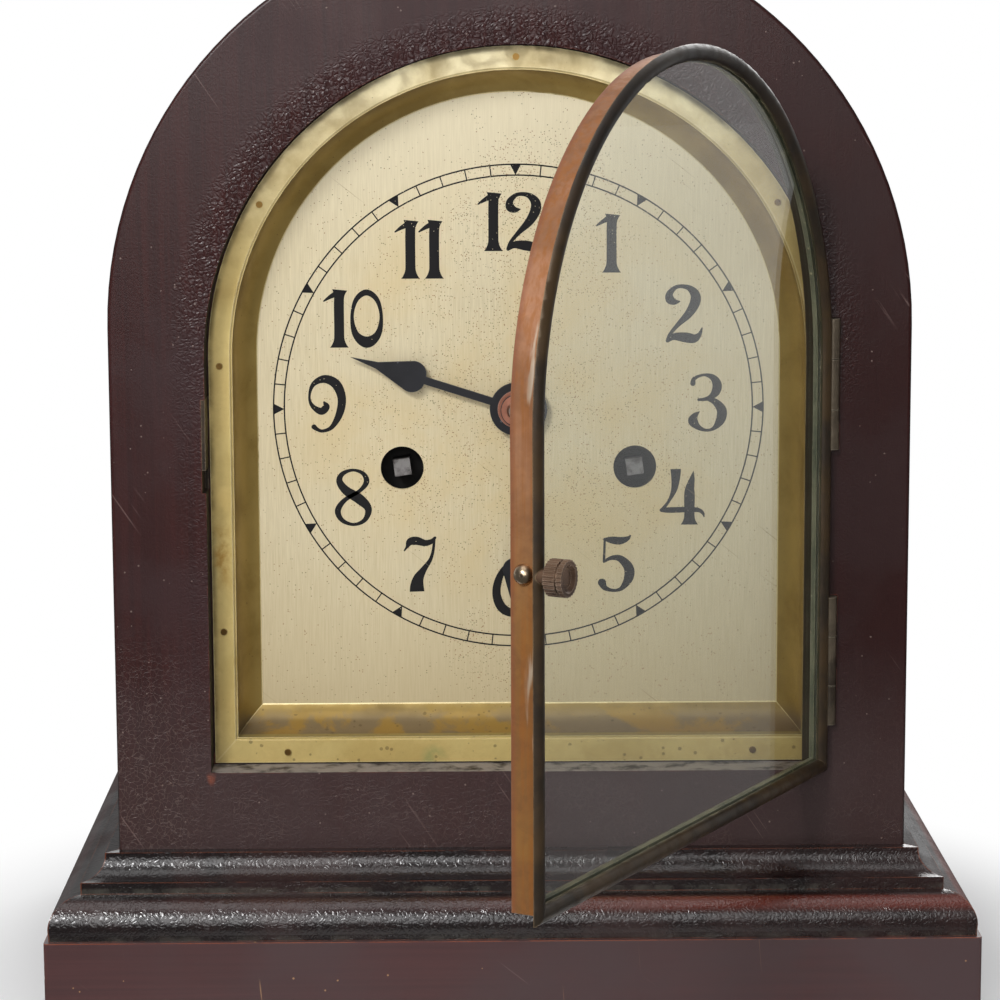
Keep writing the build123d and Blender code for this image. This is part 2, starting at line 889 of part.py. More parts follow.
# Strike plate in the left reveal, slotted for the stud
with BuildPart() as strike_plate:
    with BuildSketch(on_dial(case_front_y, (-opening_half, (strike_top - strike_bottom) / 2))):
        with Locations((-strike_thickness / 2, 0)):
            Rectangle(strike_thickness, strike_top + strike_bottom)
    extrude(amount=-(front_thickness - strike_back))
    with BuildSketch(on_dial(case_front_y, (-opening_half, -knob_drop))):
        with Locations((-strike_thickness / 2, 0)):
            Rectangle(strike_thickness, strike_slot)
    extrude(amount=-(front_thickness - strike_back - strike_lip), mode=Mode.SUBTRACT)

# Door hinges: leaves let into the reveal, leaves on the door's band, and their pins
with BuildPart() as hinge_case_leaves:
    for bottom, leaf_height in zip(hinge_bottoms, leaf_heights):
        frame = Plane(origin=(hinge_x, hinge_y, dial_z + bottom), x_dir=(0, 1, 0), z_dir=(0, 0, 1))
        add(hinge_half(frame, leaf_start, hinge_out - leaf_thickness, leaf_height, hinge_zones[::2],
                       hinge_pin, leaf_reach, leaf_thickness))

with BuildPart() as hinge_door_leaves:
    for bottom, leaf_height in zip(hinge_bottoms, leaf_heights):
        add(hinge_half(door_hinge_frame(bottom), leaf_start, door_leaf_low, leaf_height,
                       hinge_zones[1:2], hinge_pin + running_gap, leaf_reach, leaf_thickness))

with BuildPart() as hinge_pins:
    for bottom in hinge_bottoms:
        with BuildSketch(Plane(origin=(hinge_x, hinge_y, dial_z + bottom))):
            Circle(hinge_pin)
        extrude(amount=hinge_length)


def spade_hand(hub, length, bore, leaf):
    """Spade hand pointing up; its leaf is (foot, widest place, half width), measured from the tip."""
    leaf_foot = length - leaf[0]
    leaf_middle = length - leaf[1]
    leaf_half = leaf[2]
    with BuildSketch() as hand:
        with BuildLine():
            Polyline((0, 0), (hand_stem, 0), (hand_stem, leaf_foot))
            SagittaArc((hand_stem, leaf_foot), (leaf_half, leaf_middle), -leaf_bulge)
            Polyline((leaf_half, leaf_middle), (point_half, length - point_length), (0, length), (0, 0))
        make_face()
        mirror(about=Plane.YZ)
        Circle(hub)
        Circle(bore, mode=Mode.SUBTRACT)
    return hand.sketch


# Hands, with the hour hand riveted on its collet and the nut in front
hour_y = dial_y - hour_lift
minute_y = dial_y - minute_lift
with BuildPart() as hour_hand:
    with BuildSketch(on_dial(hour_y)):
        add(spade_hand(hour_hub, hour_length, hour_collet_radius, hour_leaf), rotation=-hour_angle)
    extrude(amount=hand_thickness)

with BuildPart() as hour_collet:
    with BuildSketch(on_dial(hour_y + (hour_collet_length - hand_thickness) / 2)):
        Circle(hour_collet_radius)
        Circle(hour_pipe, mode=Mode.SUBTRACT)
    extrude(amount=hour_collet_length)

with BuildPart() as minute_hand:
    with BuildSketch(on_dial(minute_y)):
        add(spade_hand(minute_hub, minute_length, cannon_pipe, minute_leaf), rotation=-minute_angle)
    extrude(amount=hand_thickness)

with BuildPart() as hand_nut:
    with BuildSketch(on_dial(minute_y - hand_thickness)):
        Circle(nut_radius)
    extrude(amount=nut_height, taper=nut_taper)

# Places of the arbors, as dial places
centre_place = (0.0, 0.0)
second_place = apex(
    winding_places["going"], centre_place,
    mesh_distance(great_teeth, barrel_pinion_teeth, great_module),
    mesh_distance(second_teeth, centre_pinion_teeth, second_module),
)
third_place = placed(centre_place, mesh_distance(centre_teeth, third_pinion_teeth, centre_module), third_angle)
escape_reach = mesh_distance(third_teeth, escape_pinion_teeth, third_module)
escape_place = (0.0, third_place[1] + math.sqrt(escape_reach**2 - third_place[0] ** 2))
pallet_place = (0.0, escape_place[1] + escape_radius * math.sqrt(2))
minute_place = placed(
    centre_place, mesh_distance(cannon_teeth, minute_wheel_teeth, motion_module), minute_arbor_angle
)
pin_place = placed(
    winding_places["strike"], mesh_distance(great_teeth, barrel_pinion_teeth, great_module), pin_wheel_angle
)
strike_third_place = placed(
    pin_place, mesh_distance(pin_teeth, strike_pinion_teeth, pin_module), strike_third_angle
)
fly_place = placed(
    strike_third_place, mesh_distance(strike_third_teeth, fly_pinion_teeth, strike_third_module), fly_angle
)
click_places = [(place[0], place[1] - click_drop) for place in winding_places.values()]
pillar_places = [
    (side * (plate_half - pillar_inset), height)
    for side in (-1, 1)
    for height in (plate_top - pillar_inset, pillar_inset - plate_bottom)
]
pivot_places = [
    second_place, third_place, escape_place, pallet_place, pin_place, strike_third_place, fly_place,
]


def movement_plate(y, centre_radius):
    """Movement plate with its pivot holes and the holes for the pillar studs."""
    with BuildPart() as plate:
        with BuildSketch(on_dial(y)):
            with Locations((0, (plate_top - plate_bottom) / 2)):
                RectangleRounded(2 * plate_half, plate_top + plate_bottom, plate_corner)
            with Locations(*pivot_places):
                Circle(pivot_radius + running_gap, mode=Mode.SUBTRACT)
            with Locations(*winding_places.values()):
                Circle(winding_pivot_radius + running_gap, mode=Mode.SUBTRACT)
            with Locations(*pillar_places):
                Circle(pillar_stud, mode=Mode.SUBTRACT)
            with Locations(hammer_place):
                Circle(hammer_arm_radius + running_gap, mode=Mode.SUBTRACT)
            Circle(centre_radius + running_gap, mode=Mode.SUBTRACT)
        extrude(amount=-plate_thickness)
    return plate.part


# Movement plates; the front one carries the studs of the minute wheel and of the two clicks
minute_stud_length = motion_lift + 2 * wheel_thickness + motion_step + pinion_length
with BuildPart() as front_plate:
    add(movement_plate(plate_front_y, centre_post))
    with BuildSketch(on_dial(plate_front_y, minute_place)):
        Circle(minute_stud)
    extrude(amount=minute_stud_length)
    with BuildSketch(on_dial(plate_front_y)):
        with Locations(*click_places):
            Circle(click_stud)
    extrude(amount=ratchet_lift + ratchet_thickness)

with BuildPart() as back_plate:
    add(movement_plate(inside_back_y, pivot_radius))

# Brackets from the pillars out to the back of the front board
bracket_front_y = plate_front_y - bracket_thickness
with BuildPart() as movement_brackets:
    for side in (-1, 1):
        for height in (plate_top - pillar_inset, pillar_inset - plate_bottom):
            with BuildSketch(on_dial(bracket_front_y, (0, height))):
                with Locations((side * (bracket_start + bracket_end) / 2, 0)):
                    Rectangle(bracket_end - bracket_start, bracket_width)
                with Locations((side * (plate_half - pillar_inset), 0)):
                    Circle(pillar_stud, mode=Mode.SUBTRACT)
            extrude(amount=-bracket_thickness)
            with BuildSketch(on_dial(dial_y, (0, height))):
                with Locations((side * (bracket_end - bracket_foot / 2), 0)):
                    Rectangle(bracket_foot, bracket_width)
            extrude(amount=-(bracket_front_y - dial_y))

# Pillars with shouldered studs, and the nuts that clamp plates and brackets
stud_front_y = bracket_front_y - nut_thickness
stud_back_y = plate_back_y + nut_thickness
with BuildPart() as plate_pillars:
    with BuildSketch(on_dial(inside_front_y)):
        with Locations(*pillar_places):
            Circle(pillar_radius)
    extrude(amount=-plate_gap)
    with BuildSketch(on_dial(stud_front_y)):
        with Locations(*pillar_places):
            Circle(pillar_stud)
    extrude(amount=-(stud_back_y - stud_front_y))

with BuildPart() as pillar_nuts:
    for y in (stud_front_y, plate_back_y):
        with BuildSketch(on_dial(y)):
            with Locations(*pillar_places):
                RegularPolygon(nut_flats / 2, 6, major_radius=False)
                Circle(pillar_stud, mode=Mode.SUBTRACT)
        extrude(amount=-nut_thickness)


def barrel(place, phase):
    """Spring barrel: a closed drum with the great wheel on its front edge."""
    drum_y = inside_front_y + great_layer + great_thickness
    with BuildPart() as drum:
        with BuildSketch(on_dial(inside_front_y + great_layer, place)):
            add(wheel_face(great_teeth, great_module, phase))
        extrude(amount=-great_thickness)
        with BuildSketch(on_dial(drum_y, place)):
            Circle(drum_radius)
        extrude(amount=-drum_length)
        with BuildSketch(on_dial(drum_y, place)):
            Circle(drum_radius - drum_wall)
        extrude(amount=-(drum_length - drum_wall), mode=Mode.SUBTRACT)
        with BuildSketch(on_dial(inside_front_y + great_layer, place)):
            Circle(winding_arbor_radius + running_gap)
        extrude(amount=-(great_thickness + drum_length), mode=Mode.SUBTRACT)
    return drum.part


def mainspring(place):
    """Coiled mainspring between the winding arbor and the wall of its drum."""
    inner = winding_arbor_radius + spring_room + spring_strip
    outer = drum_radius - drum_wall - spring_room - spring_strip / 2
    with BuildPart() as spring:
        with BuildSketch(on_dial(inside_front_y + great_layer + great_thickness + spring_room, place)):
            add(spiral_face(inner, outer, spring_turns, spring_strip))
        extrude(amount=-(drum_length - drum_wall - 2 * spring_room))
    return spring.part


def winding_arbor(place):
    """Barrel arbor with its ratchet wheel and the winding square behind the dial hole."""
    ratchet_y = plate_front_y - ratchet_lift - ratchet_thickness
    square_y = dial_y + winding_recess
    with BuildPart() as arbor:
        with BuildSketch(on_dial(ratchet_y, place)):
            Circle(winding_pivot_radius)
        extrude(amount=-(plate_back_y - ratchet_y))
        with BuildSketch(on_dial(inside_front_y + shoulder_gap, place)):
            Circle(winding_arbor_radius)
        extrude(amount=-(plate_gap - 2 * shoulder_gap))
        with BuildSketch(on_dial(ratchet_y, place)):
            add(toothed_face(ratchet_teeth, ratchet_radius, ratchet_radius - ratchet_depth, 0.0))
        extrude(amount=-ratchet_thickness)
        with BuildSketch(on_dial(square_y, place)):
            Rectangle(winding_square, winding_square, rotation=winding_turn)
        extrude(amount=-(ratchet_y - square_y))
    return arbor.part


def click(place, side):
    """Click on its stud, drawn lifted just clear of the ratchet teeth."""
    with BuildPart() as lever:
        with BuildSketch(on_dial(plate_front_y - ratchet_lift - ratchet_thickness, place)):
            with Locations((0, -click_drop)):
                Circle(click_boss)
            with Locations((side * click_nose_place[0], click_nose_place[1])):
                Circle(click_nose)
            make_hull()
            with Locations((0, -click_drop)):
                Circle(click_stud + running_gap, mode=Mode.SUBTRACT)
        extrude(amount=-ratchet_thickness)
    return lever.part


# Going barrel, mainspring, winding arbor and click on the right
going_mesh = heading(winding_places["going"], second_place)
with BuildPart() as going_barrel:
    add(barrel(winding_places["going"], going_mesh))

with BuildPart() as going_mainspring:
    add(mainspring(winding_places["going"]))

with BuildPart() as going_winding_arbor:
    add(winding_arbor(winding_places["going"]))

with BuildPart() as going_click:
    add(click(winding_places["going"], 1))

# Strike barrel, mainspring, winding arbor and click on the left
strike_mesh = heading(winding_places["strike"], pin_place)
with BuildPart() as strike_barrel:
    add(barrel(winding_places["strike"], strike_mesh))

with BuildPart() as strike_mainspring:
    add(mainspring(winding_places["strike"]))

with BuildPart() as strike_winding_arbor:
    add(winding_arbor(winding_places["strike"]))

with BuildPart() as strike_click:
    add(click(winding_places["strike"], -1))

# Intermediate wheel: its pinion in the great wheel, its wheel on the centre pinion
second_mesh = heading(second_place, centre_place)
barrel_pinion = wheel_face(barrel_pinion_teeth, great_module, gap_phase(barrel_pinion_teeth, going_mesh + 180))
pinion_margin = (pinion_length - wheel_thickness) / 2
great_margin = (pinion_length - great_thickness) / 2
with BuildPart() as intermediate_wheel:
    add(train_arbor(second_place, [
        (barrel_pinion, great_layer - great_margin, pinion_length),
        (wheel_face(second_teeth, second_module, second_mesh, crossed=True), second_layer, wheel_thickness),
    ]))

# Centre wheel, whose arbor runs forward through the front plate to carry the cannon pinion
third_mesh = heading(centre_place, third_place)
centre_pinion = wheel_face(
    centre_pinion_teeth, second_module, gap_phase(centre_pinion_teeth, second_mesh + 180)
)
post_front_y = dial_y - minute_lift - hand_thickness
with BuildPart() as centre_wheel:
    add(train_arbor(centre_place, [
        (centre_pinion, second_layer - pinion_margin, pinion_length),
        (wheel_face(centre_teeth, centre_module, third_mesh, crossed=True), centre_layer, wheel_thickness),
    ]))
    with BuildSketch(on_dial(post_front_y)):
        Circle(centre_post)
    extrude(amount=-(inside_front_y + shoulder_gap - post_front_y))

# Third wheel
escape_mesh = heading(third_place, escape_place)
third_pinion = wheel_face(third_pinion_teeth, centre_module, gap_phase(third_pinion_teeth, third_mesh + 180))
with BuildPart() as third_wheel:
    add(train_arbor(third_place, [
        (third_pinion, centre_layer - pinion_margin, pinion_length),
        (wheel_face(third_teeth, third_module, escape_mesh, crossed=True), third_layer, wheel_thickness),
    ]))

# Escape wheel
escape_pinion = wheel_face(
    escape_pinion_teeth, third_module, gap_phase(escape_pinion_teeth, escape_mesh + 180)
)
escape_root = escape_radius - escape_depth
with BuildPart() as escape_wheel:
    add(train_arbor(escape_place, [
        (escape_pinion, third_layer - pinion_margin, pinion_length),
        (toothed_face(escape_teeth, escape_radius, escape_root, 90.0), escape_layer, wheel_thickness),
    ]))

# Pallets on their arbor, with the crutch and its fork behind the back plate
nose_reach = (escape_radius + pallet_clearance + pallet_nose) * math.sqrt(0.5)
nose_drop = nose_reach - (pallet_place[1] - escape_place[1])
crutch_y = plate_back_y + crutch_lift
with BuildPart() as pallets:
    add(train_arbor(pallet_place, [], back=crutch_lift + crutch_thickness))
    for side in (-1, 1):
        with BuildSketch(on_dial(inside_front_y + escape_layer, pallet_place)):
            Circle(pallet_hub)
            with Locations((side * nose_reach, nose_drop)):
                Circle(pallet_nose)
            make_hull()
        extrude(amount=-wheel_thickness)
    with BuildSketch(on_dial(crutch_y, pallet_place)):
        Circle(pallet_hub)
        with Locations((0, -crutch_length / 2)):
            Rectangle(crutch_width, crutch_length)
    extrude(amount=-crutch_thickness)
    with BuildSketch(on_dial(crutch_y, pallet_place)):
        with Locations((0, -crutch_length)):
            Rectangle(2 * (rod_radius + fork_gap + fork_prong), crutch_width)
    extrude(amount=-crutch_thickness)
    with BuildSketch(on_dial(crutch_y, pallet_place)):
        for side in (-1, 1):
            with Locations((side * (rod_radius + fork_gap + fork_prong / 2), -crutch_length)):
                Rectangle(fork_prong, crutch_width)
    extrude(amount=-fork_reach)

# Suspension cock on the back plate, with a slotted jaw for the spring
rod_y = plate_back_y + rod_set_off
spring_front_y = rod_y - spring_width / 2
cock_back_y = rod_y + spring_width / 2 + spring_thickness
pivot_z = pallet_place[1]
with BuildPart() as suspension_cock:
    with BuildSketch(on_dial(plate_back_y, (0, pivot_z + cock_lift + cock_height / 2))):
        Rectangle(cock_width, cock_height)
    extrude(amount=-(cock_back_y - plate_back_y))
    with BuildSketch(on_dial(spring_front_y, (0, pivot_z + cock_lift - cock_jaw / 2))):
        Rectangle(cock_width, cock_jaw)
    extrude(amount=-(cock_back_y - spring_front_y))
    with BuildSketch(on_dial(spring_front_y, (0, pivot_z + cock_lift - cock_jaw / 2))):
        Rectangle(cock_slot, cock_jaw)
    extrude(amount=-(cock_back_y - spring_front_y), mode=Mode.SUBTRACT)

# Pendulum: suspension spring, rod with its block, bob and rating nut
bob_drop = pivot_z - pendulum_length
nut_top = bob_drop - bob_radius
with BuildPart() as suspension_spring:
    with BuildSketch(on_dial(spring_front_y, (0, pivot_z + (spring_above - spring_below) / 2))):
        Rectangle(spring_thickness, spring_above + spring_below)
    extrude(amount=-spring_width)

with BuildPart() as pendulum_rod:
    with BuildSketch(on_dial(spring_front_y, (0, pivot_z - spring_below - block_height / 2))):
        Rectangle(block_width, block_height)
    extrude(amount=-spring_width)
    block_foot = pivot_z - spring_below - block_height
    with BuildSketch(Plane(origin=(dial_x, rod_y, dial_z + block_foot), z_dir=(0, 0, -1))):
        Circle(rod_radius)
    extrude(amount=block_foot - nut_top + rating_nut_height + thread_tail)

with BuildPart() as pendulum_bob:
    with BuildSketch(Plane(origin=(dial_x, rod_y, dial_z + bob_drop))):
        with BuildLine():
            Line((0, -bob_thickness / 2), (0, bob_thickness / 2))
            middle = dome_middle(bob_radius, bob_thickness / 2)
            ThreePointArc((0, bob_thickness / 2), middle, (bob_radius, 0))
            ThreePointArc((bob_radius, 0), (middle[0], -middle[1]), (0, -bob_thickness / 2))
        make_face()
    revolve(axis=Axis((dial_x, rod_y, dial_z + bob_drop), (0, 1, 0)))
    with BuildSketch(Plane(origin=(dial_x, rod_y, dial_z + nut_top))):
        Circle(rod_radius + running_gap)
    extrude(amount=2 * bob_radius, mode=Mode.SUBTRACT)

with BuildPart() as rating_nut:
    with BuildSketch(Plane(origin=(dial_x, rod_y, dial_z + nut_top - rating_nut_height))):
        add(toothed_face(rating_nut_teeth, rating_nut_radius, rating_nut_radius - knob_knurl, 0.0))
        Circle(rod_radius + running_gap, mode=Mode.SUBTRACT)
    extrude(amount=rating_nut_height)

# Motion work: cannon pinion, minute wheel on its stud, hour wheel with its pipe
hour_module = motion_module * (cannon_teeth + minute_wheel_teeth) / (minute_pinion_teeth + hour_wheel_teeth)
cannon_y = plate_front_y - motion_lift - wheel_thickness
hour_wheel_y = cannon_y - motion_step - wheel_thickness
with BuildPart() as cannon_pinion:
    with BuildSketch(on_dial(cannon_y)):
        add(wheel_face(cannon_teeth, motion_module, minute_arbor_angle))
    extrude(amount=-wheel_thickness)
    with BuildSketch(on_dial(post_front_y)):
        Circle(cannon_pipe)
    extrude(amount=-(cannon_y - post_front_y))
    with BuildSketch(on_dial(post_front_y)):
        Circle(centre_post + running_gap)
    extrude(amount=-(plate_front_y - post_front_y), mode=Mode.SUBTRACT)

with BuildPart() as minute_wheel:
    with BuildSketch(on_dial(cannon_y, minute_place)):
        add(wheel_face(minute_wheel_teeth, motion_module,
                       gap_phase(minute_wheel_teeth, minute_arbor_angle + 180)))
    extrude(amount=-wheel_thickness)
    with BuildSketch(on_dial(hour_wheel_y, minute_place)):
        add(wheel_face(minute_pinion_teeth, hour_module, minute_arbor_angle + 180))
    extrude(amount=-(cannon_y - hour_wheel_y))
    with BuildSketch(on_dial(hour_wheel_y, minute_place)):
        Circle(minute_stud + running_gap)
    extrude(amount=-(plate_front_y - hour_wheel_y), mode=Mode.SUBTRACT)

hour_pipe_front_y = hour_y - (hour_collet_length + hand_thickness) / 2
with BuildPart() as hour_wheel:
    with BuildSketch(on_dial(hour_wheel_y)):
        add(wheel_face(hour_wheel_teeth, hour_module, gap_phase(hour_wheel_teeth, minute_arbor_angle)))
    extrude(amount=-wheel_thickness)
    with BuildSketch(on_dial(hour_pipe_front_y)):
        Circle(hour_pipe)
    extrude(amount=-(hour_wheel_y - hour_pipe_front_y))
    with BuildSketch(on_dial(hour_pipe_front_y)):
        Circle(cannon_pipe + running_gap)
    extrude(amount=-(plate_front_y - hour_pipe_front_y), mode=Mode.SUBTRACT)

# Pin wheel of the strike, with the pins that lift the hammer tail
strike_pinion = wheel_face(barrel_pinion_teeth, great_module, gap_phase(barrel_pinion_teeth, strike_mesh + 180))
with BuildPart() as pin_wheel:
    add(train_arbor(pin_place, [
        (strike_pinion, great_layer - great_margin, pinion_length),
        (wheel_face(pin_teeth, pin_module, strike_third_angle), second_layer, wheel_thickness),
    ]))
    with BuildSketch(on_dial(inside_front_y + second_layer + wheel_thickness, pin_place)):
        with PolarLocations(pin_circle, pin_count, start_angle=pin_phase):
            Circle(pin_radius)
    extrude(amount=-pin_reach)

# Third wheel of the strike
strike_third_pinion = wheel_face(
    strike_pinion_teeth, pin_module, gap_phase(strike_pinion_teeth, strike_third_angle + 180)
)
with BuildPart() as strike_third_wheel:
    add(train_arbor(strike_third_place, [
        (strike_third_pinion, second_layer - pinion_margin, pinion_length),
        (wheel_face(strike_third_teeth, strike_third_module, fly_angle), strike_third_layer, wheel_thickness),
    ]))

# Fly: a flat blade that brakes the strike
fly_pinion = wheel_face(fly_pinion_teeth, strike_third_module, gap_phase(fly_pinion_teeth, fly_angle + 180))
with BuildPart() as fly:
    add(train_arbor(fly_place, [(fly_pinion, strike_third_layer - pinion_margin, pinion_length)]))
    with BuildSketch(on_dial(inside_front_y + fly_layer, fly_place)):
        Rectangle(fly_blade, fly_span)
    extrude(amount=-fly_length)

# Hammer: arbor through both plates, tail among the pins, arm and head behind the movement
hammer_y = plate_back_y + hammer_depth
with BuildPart() as hammer:
    with BuildSketch(on_dial(plate_front_y, hammer_place)):
        Circle(hammer_arm_radius)
    extrude(amount=-(hammer_y + hammer_arm_radius - plate_front_y))
    with BuildSketch(on_dial(inside_front_y + tail_layer, hammer_place)):
        Circle(tail_boss)
        with Locations(placed((0.0, 0.0), tail_length, tail_angle)):
            Circle(tail_nose)
        make_hull()
    extrude(amount=-tail_thickness)
    arm_top = Vector(dial_x + hammer_place[0], hammer_y, dial_z + hammer_place[1])
    with BuildSketch(Plane(origin=arm_top, z_dir=(0, 0, -1))):
        Circle(hammer_arm_radius)
    extrude(amount=hammer_arm)
    with BuildSketch(Plane(origin=arm_top - Vector(0, 0, hammer_arm), z_dir=(1, 0, 0))):
        Circle(hammer_head_radius)
    extrude(amount=hammer_head_length / 2, both=True)

# Coil gong and its cast stand on the base
gong_y = hammer_y - gong_depth / 2
stand_y = hammer_y + gong_depth / 2 + stand_gap
gong_z = dial_z + gong_place[1]
with BuildPart() as gong:
    with BuildSketch(on_dial(gong_y, gong_place)):
        add(spiral_face(gong_inner, gong_inner + gong_turns * gong_pitch, gong_turns, gong_wire))
    extrude(amount=-gong_depth)

with BuildPart() as gong_stand:
    with BuildSketch(Plane(origin=(dial_x + gong_place[0], stand_y + stand_post, plinth_height))):
        Rectangle(stand_foot_width, stand_foot_depth, align=(Align.CENTER, Align.MAX))
    extrude(amount=stand_foot_height)
    with BuildSketch(Plane(origin=(dial_x + gong_place[0], stand_y + stand_post, plinth_height))):
        Rectangle(stand_post, stand_post, align=(Align.CENTER, Align.MAX))
    extrude(amount=gong_z + stand_post / 2 - plinth_height)
    with BuildSketch(on_dial(gong_y, gong_place)):
        Circle(gong_boss)
        with Locations((-(gong_inner + gong_wire / 2) / 2, -gong_lug / 2)):
            Rectangle(gong_inner + gong_wire / 2, gong_lug)
    extrude(amount=-(stand_y - gong_y))

pieces = {
    "base_plinth": base_plinth,
    "base_moulding_front": base_moulding_front,
    "base_moulding_left": base_moulding_left,
    "base_moulding_right": base_moulding_right,
    "case_front": case_front,
    "case_shell": case_shell,
    "back_board": back_board,
    "back_door": back_door,
    "back_hinge_board_leaves": back_hinge_board_leaves,
    "back_hinge_door_leaves": back_hinge_door_leaves,
    "turn_button": turn_button,
    "dial_plate": dial_plate,
    "surround_arch": surround_arch,
    "surround_sill": surround_sill,
    "surround_pins": surround_pins,
    "door_frame": door_frame,
    "door_glass": door_glass,
    "glass_retainer": glass_retainer,
    "door_knob": door_knob,
    "catch_stud": catch_stud,
    "strike_plate": strike_plate,
    "hinge_case_leaves": hinge_case_leaves,
    "hinge_door_leaves": hinge_door_leaves,
    "hinge_pins": hinge_pins,
    "hour_hand": hour_hand,
    "hour_collet": hour_collet,
    "minute_hand": minute_hand,
    "hand_nut": hand_nut,
    "front_plate": front_plate,
    "back_plate": back_plate,
    "plate_pillars": plate_pillars,
    "pillar_nuts": pillar_nuts,
    "movement_brackets": movement_brackets,
    "going_barrel": going_barrel,
    "going_mainspring": going_mainspring,
    "going_winding_arbor": going_winding_arbor,
    "going_click": going_click,
    "strike_barrel": strike_barrel,
    "strike_mainspring": strike_mainspring,
    "strike_winding_arbor": strike_winding_arbor,
    "strike_click": strike_click,
    "intermediate_wheel": intermediate_wheel,
    "centre_wheel": centre_wheel,
    "third_wheel": third_wheel,
    "escape_wheel": escape_wheel,
    "pallets": pallets,
    "suspension_cock": suspension_cock,
    "suspension_spring": suspension_spring,
    "pendulum_rod": pendulum_rod,
    "pendulum_bob": pendulum_bob,
    "rating_nut": rating_nut,
    "cannon_pinion": cannon_pinion,
    "minute_wheel": minute_wheel,
    "hour_wheel": hour_wheel,
    "pin_wheel": pin_wheel,
    "strike_third_wheel": strike_third_wheel,
    "fly": fly,
    "hammer": hammer,
    "gong": gong,
    "gong_stand": gong_stand,
}
for name, piece in pieces.items():
    piece.part.label = name
    export_step(piece.part, f"parts/{name}.step")
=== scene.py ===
"""Looks of the round-topped shelf clock: finishes for its solids, the printed dial, light, floor and camera.

Places are in metres in the frame of the solids. Sizes marked mm are turned into metres where they are used.
"""
import json
import math

import bmesh
import bpy
from mathutils import Euler, Matrix, Vector


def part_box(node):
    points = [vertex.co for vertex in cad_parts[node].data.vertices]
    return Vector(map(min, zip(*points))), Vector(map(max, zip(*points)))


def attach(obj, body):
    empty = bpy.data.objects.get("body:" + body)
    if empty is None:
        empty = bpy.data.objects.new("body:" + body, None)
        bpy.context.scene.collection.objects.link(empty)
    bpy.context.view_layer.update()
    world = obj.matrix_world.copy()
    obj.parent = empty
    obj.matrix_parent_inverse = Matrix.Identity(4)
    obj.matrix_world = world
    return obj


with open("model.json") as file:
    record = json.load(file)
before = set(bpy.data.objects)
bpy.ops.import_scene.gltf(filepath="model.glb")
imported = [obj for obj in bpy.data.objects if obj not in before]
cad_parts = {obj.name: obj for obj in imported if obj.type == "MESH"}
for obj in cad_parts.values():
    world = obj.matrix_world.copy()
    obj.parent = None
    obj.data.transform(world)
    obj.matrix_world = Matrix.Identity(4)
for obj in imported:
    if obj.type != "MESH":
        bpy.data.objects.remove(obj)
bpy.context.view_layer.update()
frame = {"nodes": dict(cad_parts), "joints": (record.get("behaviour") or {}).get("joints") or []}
mm = 0.001
joint_places = {joint["name"]: Vector(joint["pos_m"]) for joint in frame["joints"]}
dial = joint_places["hand_setting"].copy()
dial.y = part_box("dial_plate")[0].y

# Sizes of the printed dial, in mm from the dial centre
ring_outer = 63.5
ring_inner = 60.7
ring_line = 0.38
tick_line = 0.32
marker_half = 1.45
numeral_circle = 49.2
numeral_height = 15.3
print_lift = 0.03
stroke_lift = 0.004
stroke_steps = 7

# Sizes of the finishes, in mm
opening_half = 79.8
opening_spring = 14.6
opening_drop = 92.5
door_half = 78.2
door_drop = 90.9
door_offset = 80.3

# Heights of the base mouldings and of the ledge under the sill, in mm: where a tint fades in and out
foot_heights = (26.2, 28.0)
round_top_heights = (32.0, 34.4, 35.6, 36.2)
fillet_heights = (36.2, 36.8, 37.6, 38.4)
ledge_height = (66.6, 67.4)

# Places on the dial with many specks, in mm from its centre: across, up and reach
speck_spots = ((6, 46, 34), (-30, -15.7, 11), (30, -15.7, 13), (-6, -64, 16))

# Camera as it stood for the photograph
camera_place = (-12.15, -850.1, 258.2)
camera_pitch = 8.71
camera_yaw = 0.68
camera_roll = -0.23
camera_lens = 111.96
camera_sensor = 36.0

# Soft lights: place, target and size in metres, power in watts
soft_lights = {
    "key_light": ((-0.55, -1.2, 0.9), (0.0, -0.05, 0.16), 0.3, 11.5),
    "front_light": ((-0.1, -1.25, 0.5), (0.0, -0.05, 0.2), 0.6, 3.8),
    "top_light": ((-0.1, -0.3, 1.45), (0.0, -0.05, 0.1), 0.9, 4.0),
    "back_light": ((0.6, 1.3, 0.8), (0.0, 0.0, 0.15), 0.9, 9.0),
}

# Floor, in metres: half its side, its gap under the clock, and where the shadow fades to white
floor_half = 6.0
floor_gap = 0.0002
shadow_reach = (0.12, 0.2)


def shade(red, green, blue):
    """Colour written in screen values from 0 to 255, as linear values with full alpha."""
    def linear(value):
        share = value / 255
        return share / 12.92 if share <= 0.04045 else ((share + 0.055) / 1.055) ** 2.4
    return (linear(red), linear(green), linear(blue), 1.0)


# Node helpers

def add_node(tree, kind, inputs=None, **settings):
    """Adds a shader node, sets its properties, and sets or links its inputs."""
    made = tree.nodes.new("ShaderNode" + kind)
    for name, value in settings.items():
        setattr(made, name, value)
    for name, value in (inputs or {}).items():
        if isinstance(value, bpy.types.NodeSocket):
            tree.links.new(value, made.inputs[name])
        else:
            made.inputs[name].default_value = value
    return made


def maths(tree, operation, first, second=0.0):
    """One step of arithmetic on two values."""
    return add_node(tree, "Math", {0: first, 1: second}, operation=operation).outputs[0]


def times(tree, first, second):
    """Product of two values."""
    return maths(tree, "MULTIPLY", first, second)


def length(tree, across, above):
    """Length of a step across and up."""
    squares = maths(tree, "ADD", times(tree, across, across), times(tree, above, above))
    return maths(tree, "SQRT", squares)


def fade(tree, value, low, high, start=0.0, end=1.0):
    """Value that goes smoothly from start to end as another goes from low to high."""
    inputs = {"Value": value, "From Min": low, "From Max": high, "To Min": start, "To Max": end}
    return add_node(tree, "MapRange", inputs, interpolation_type="SMOOTHSTEP").outputs[0]


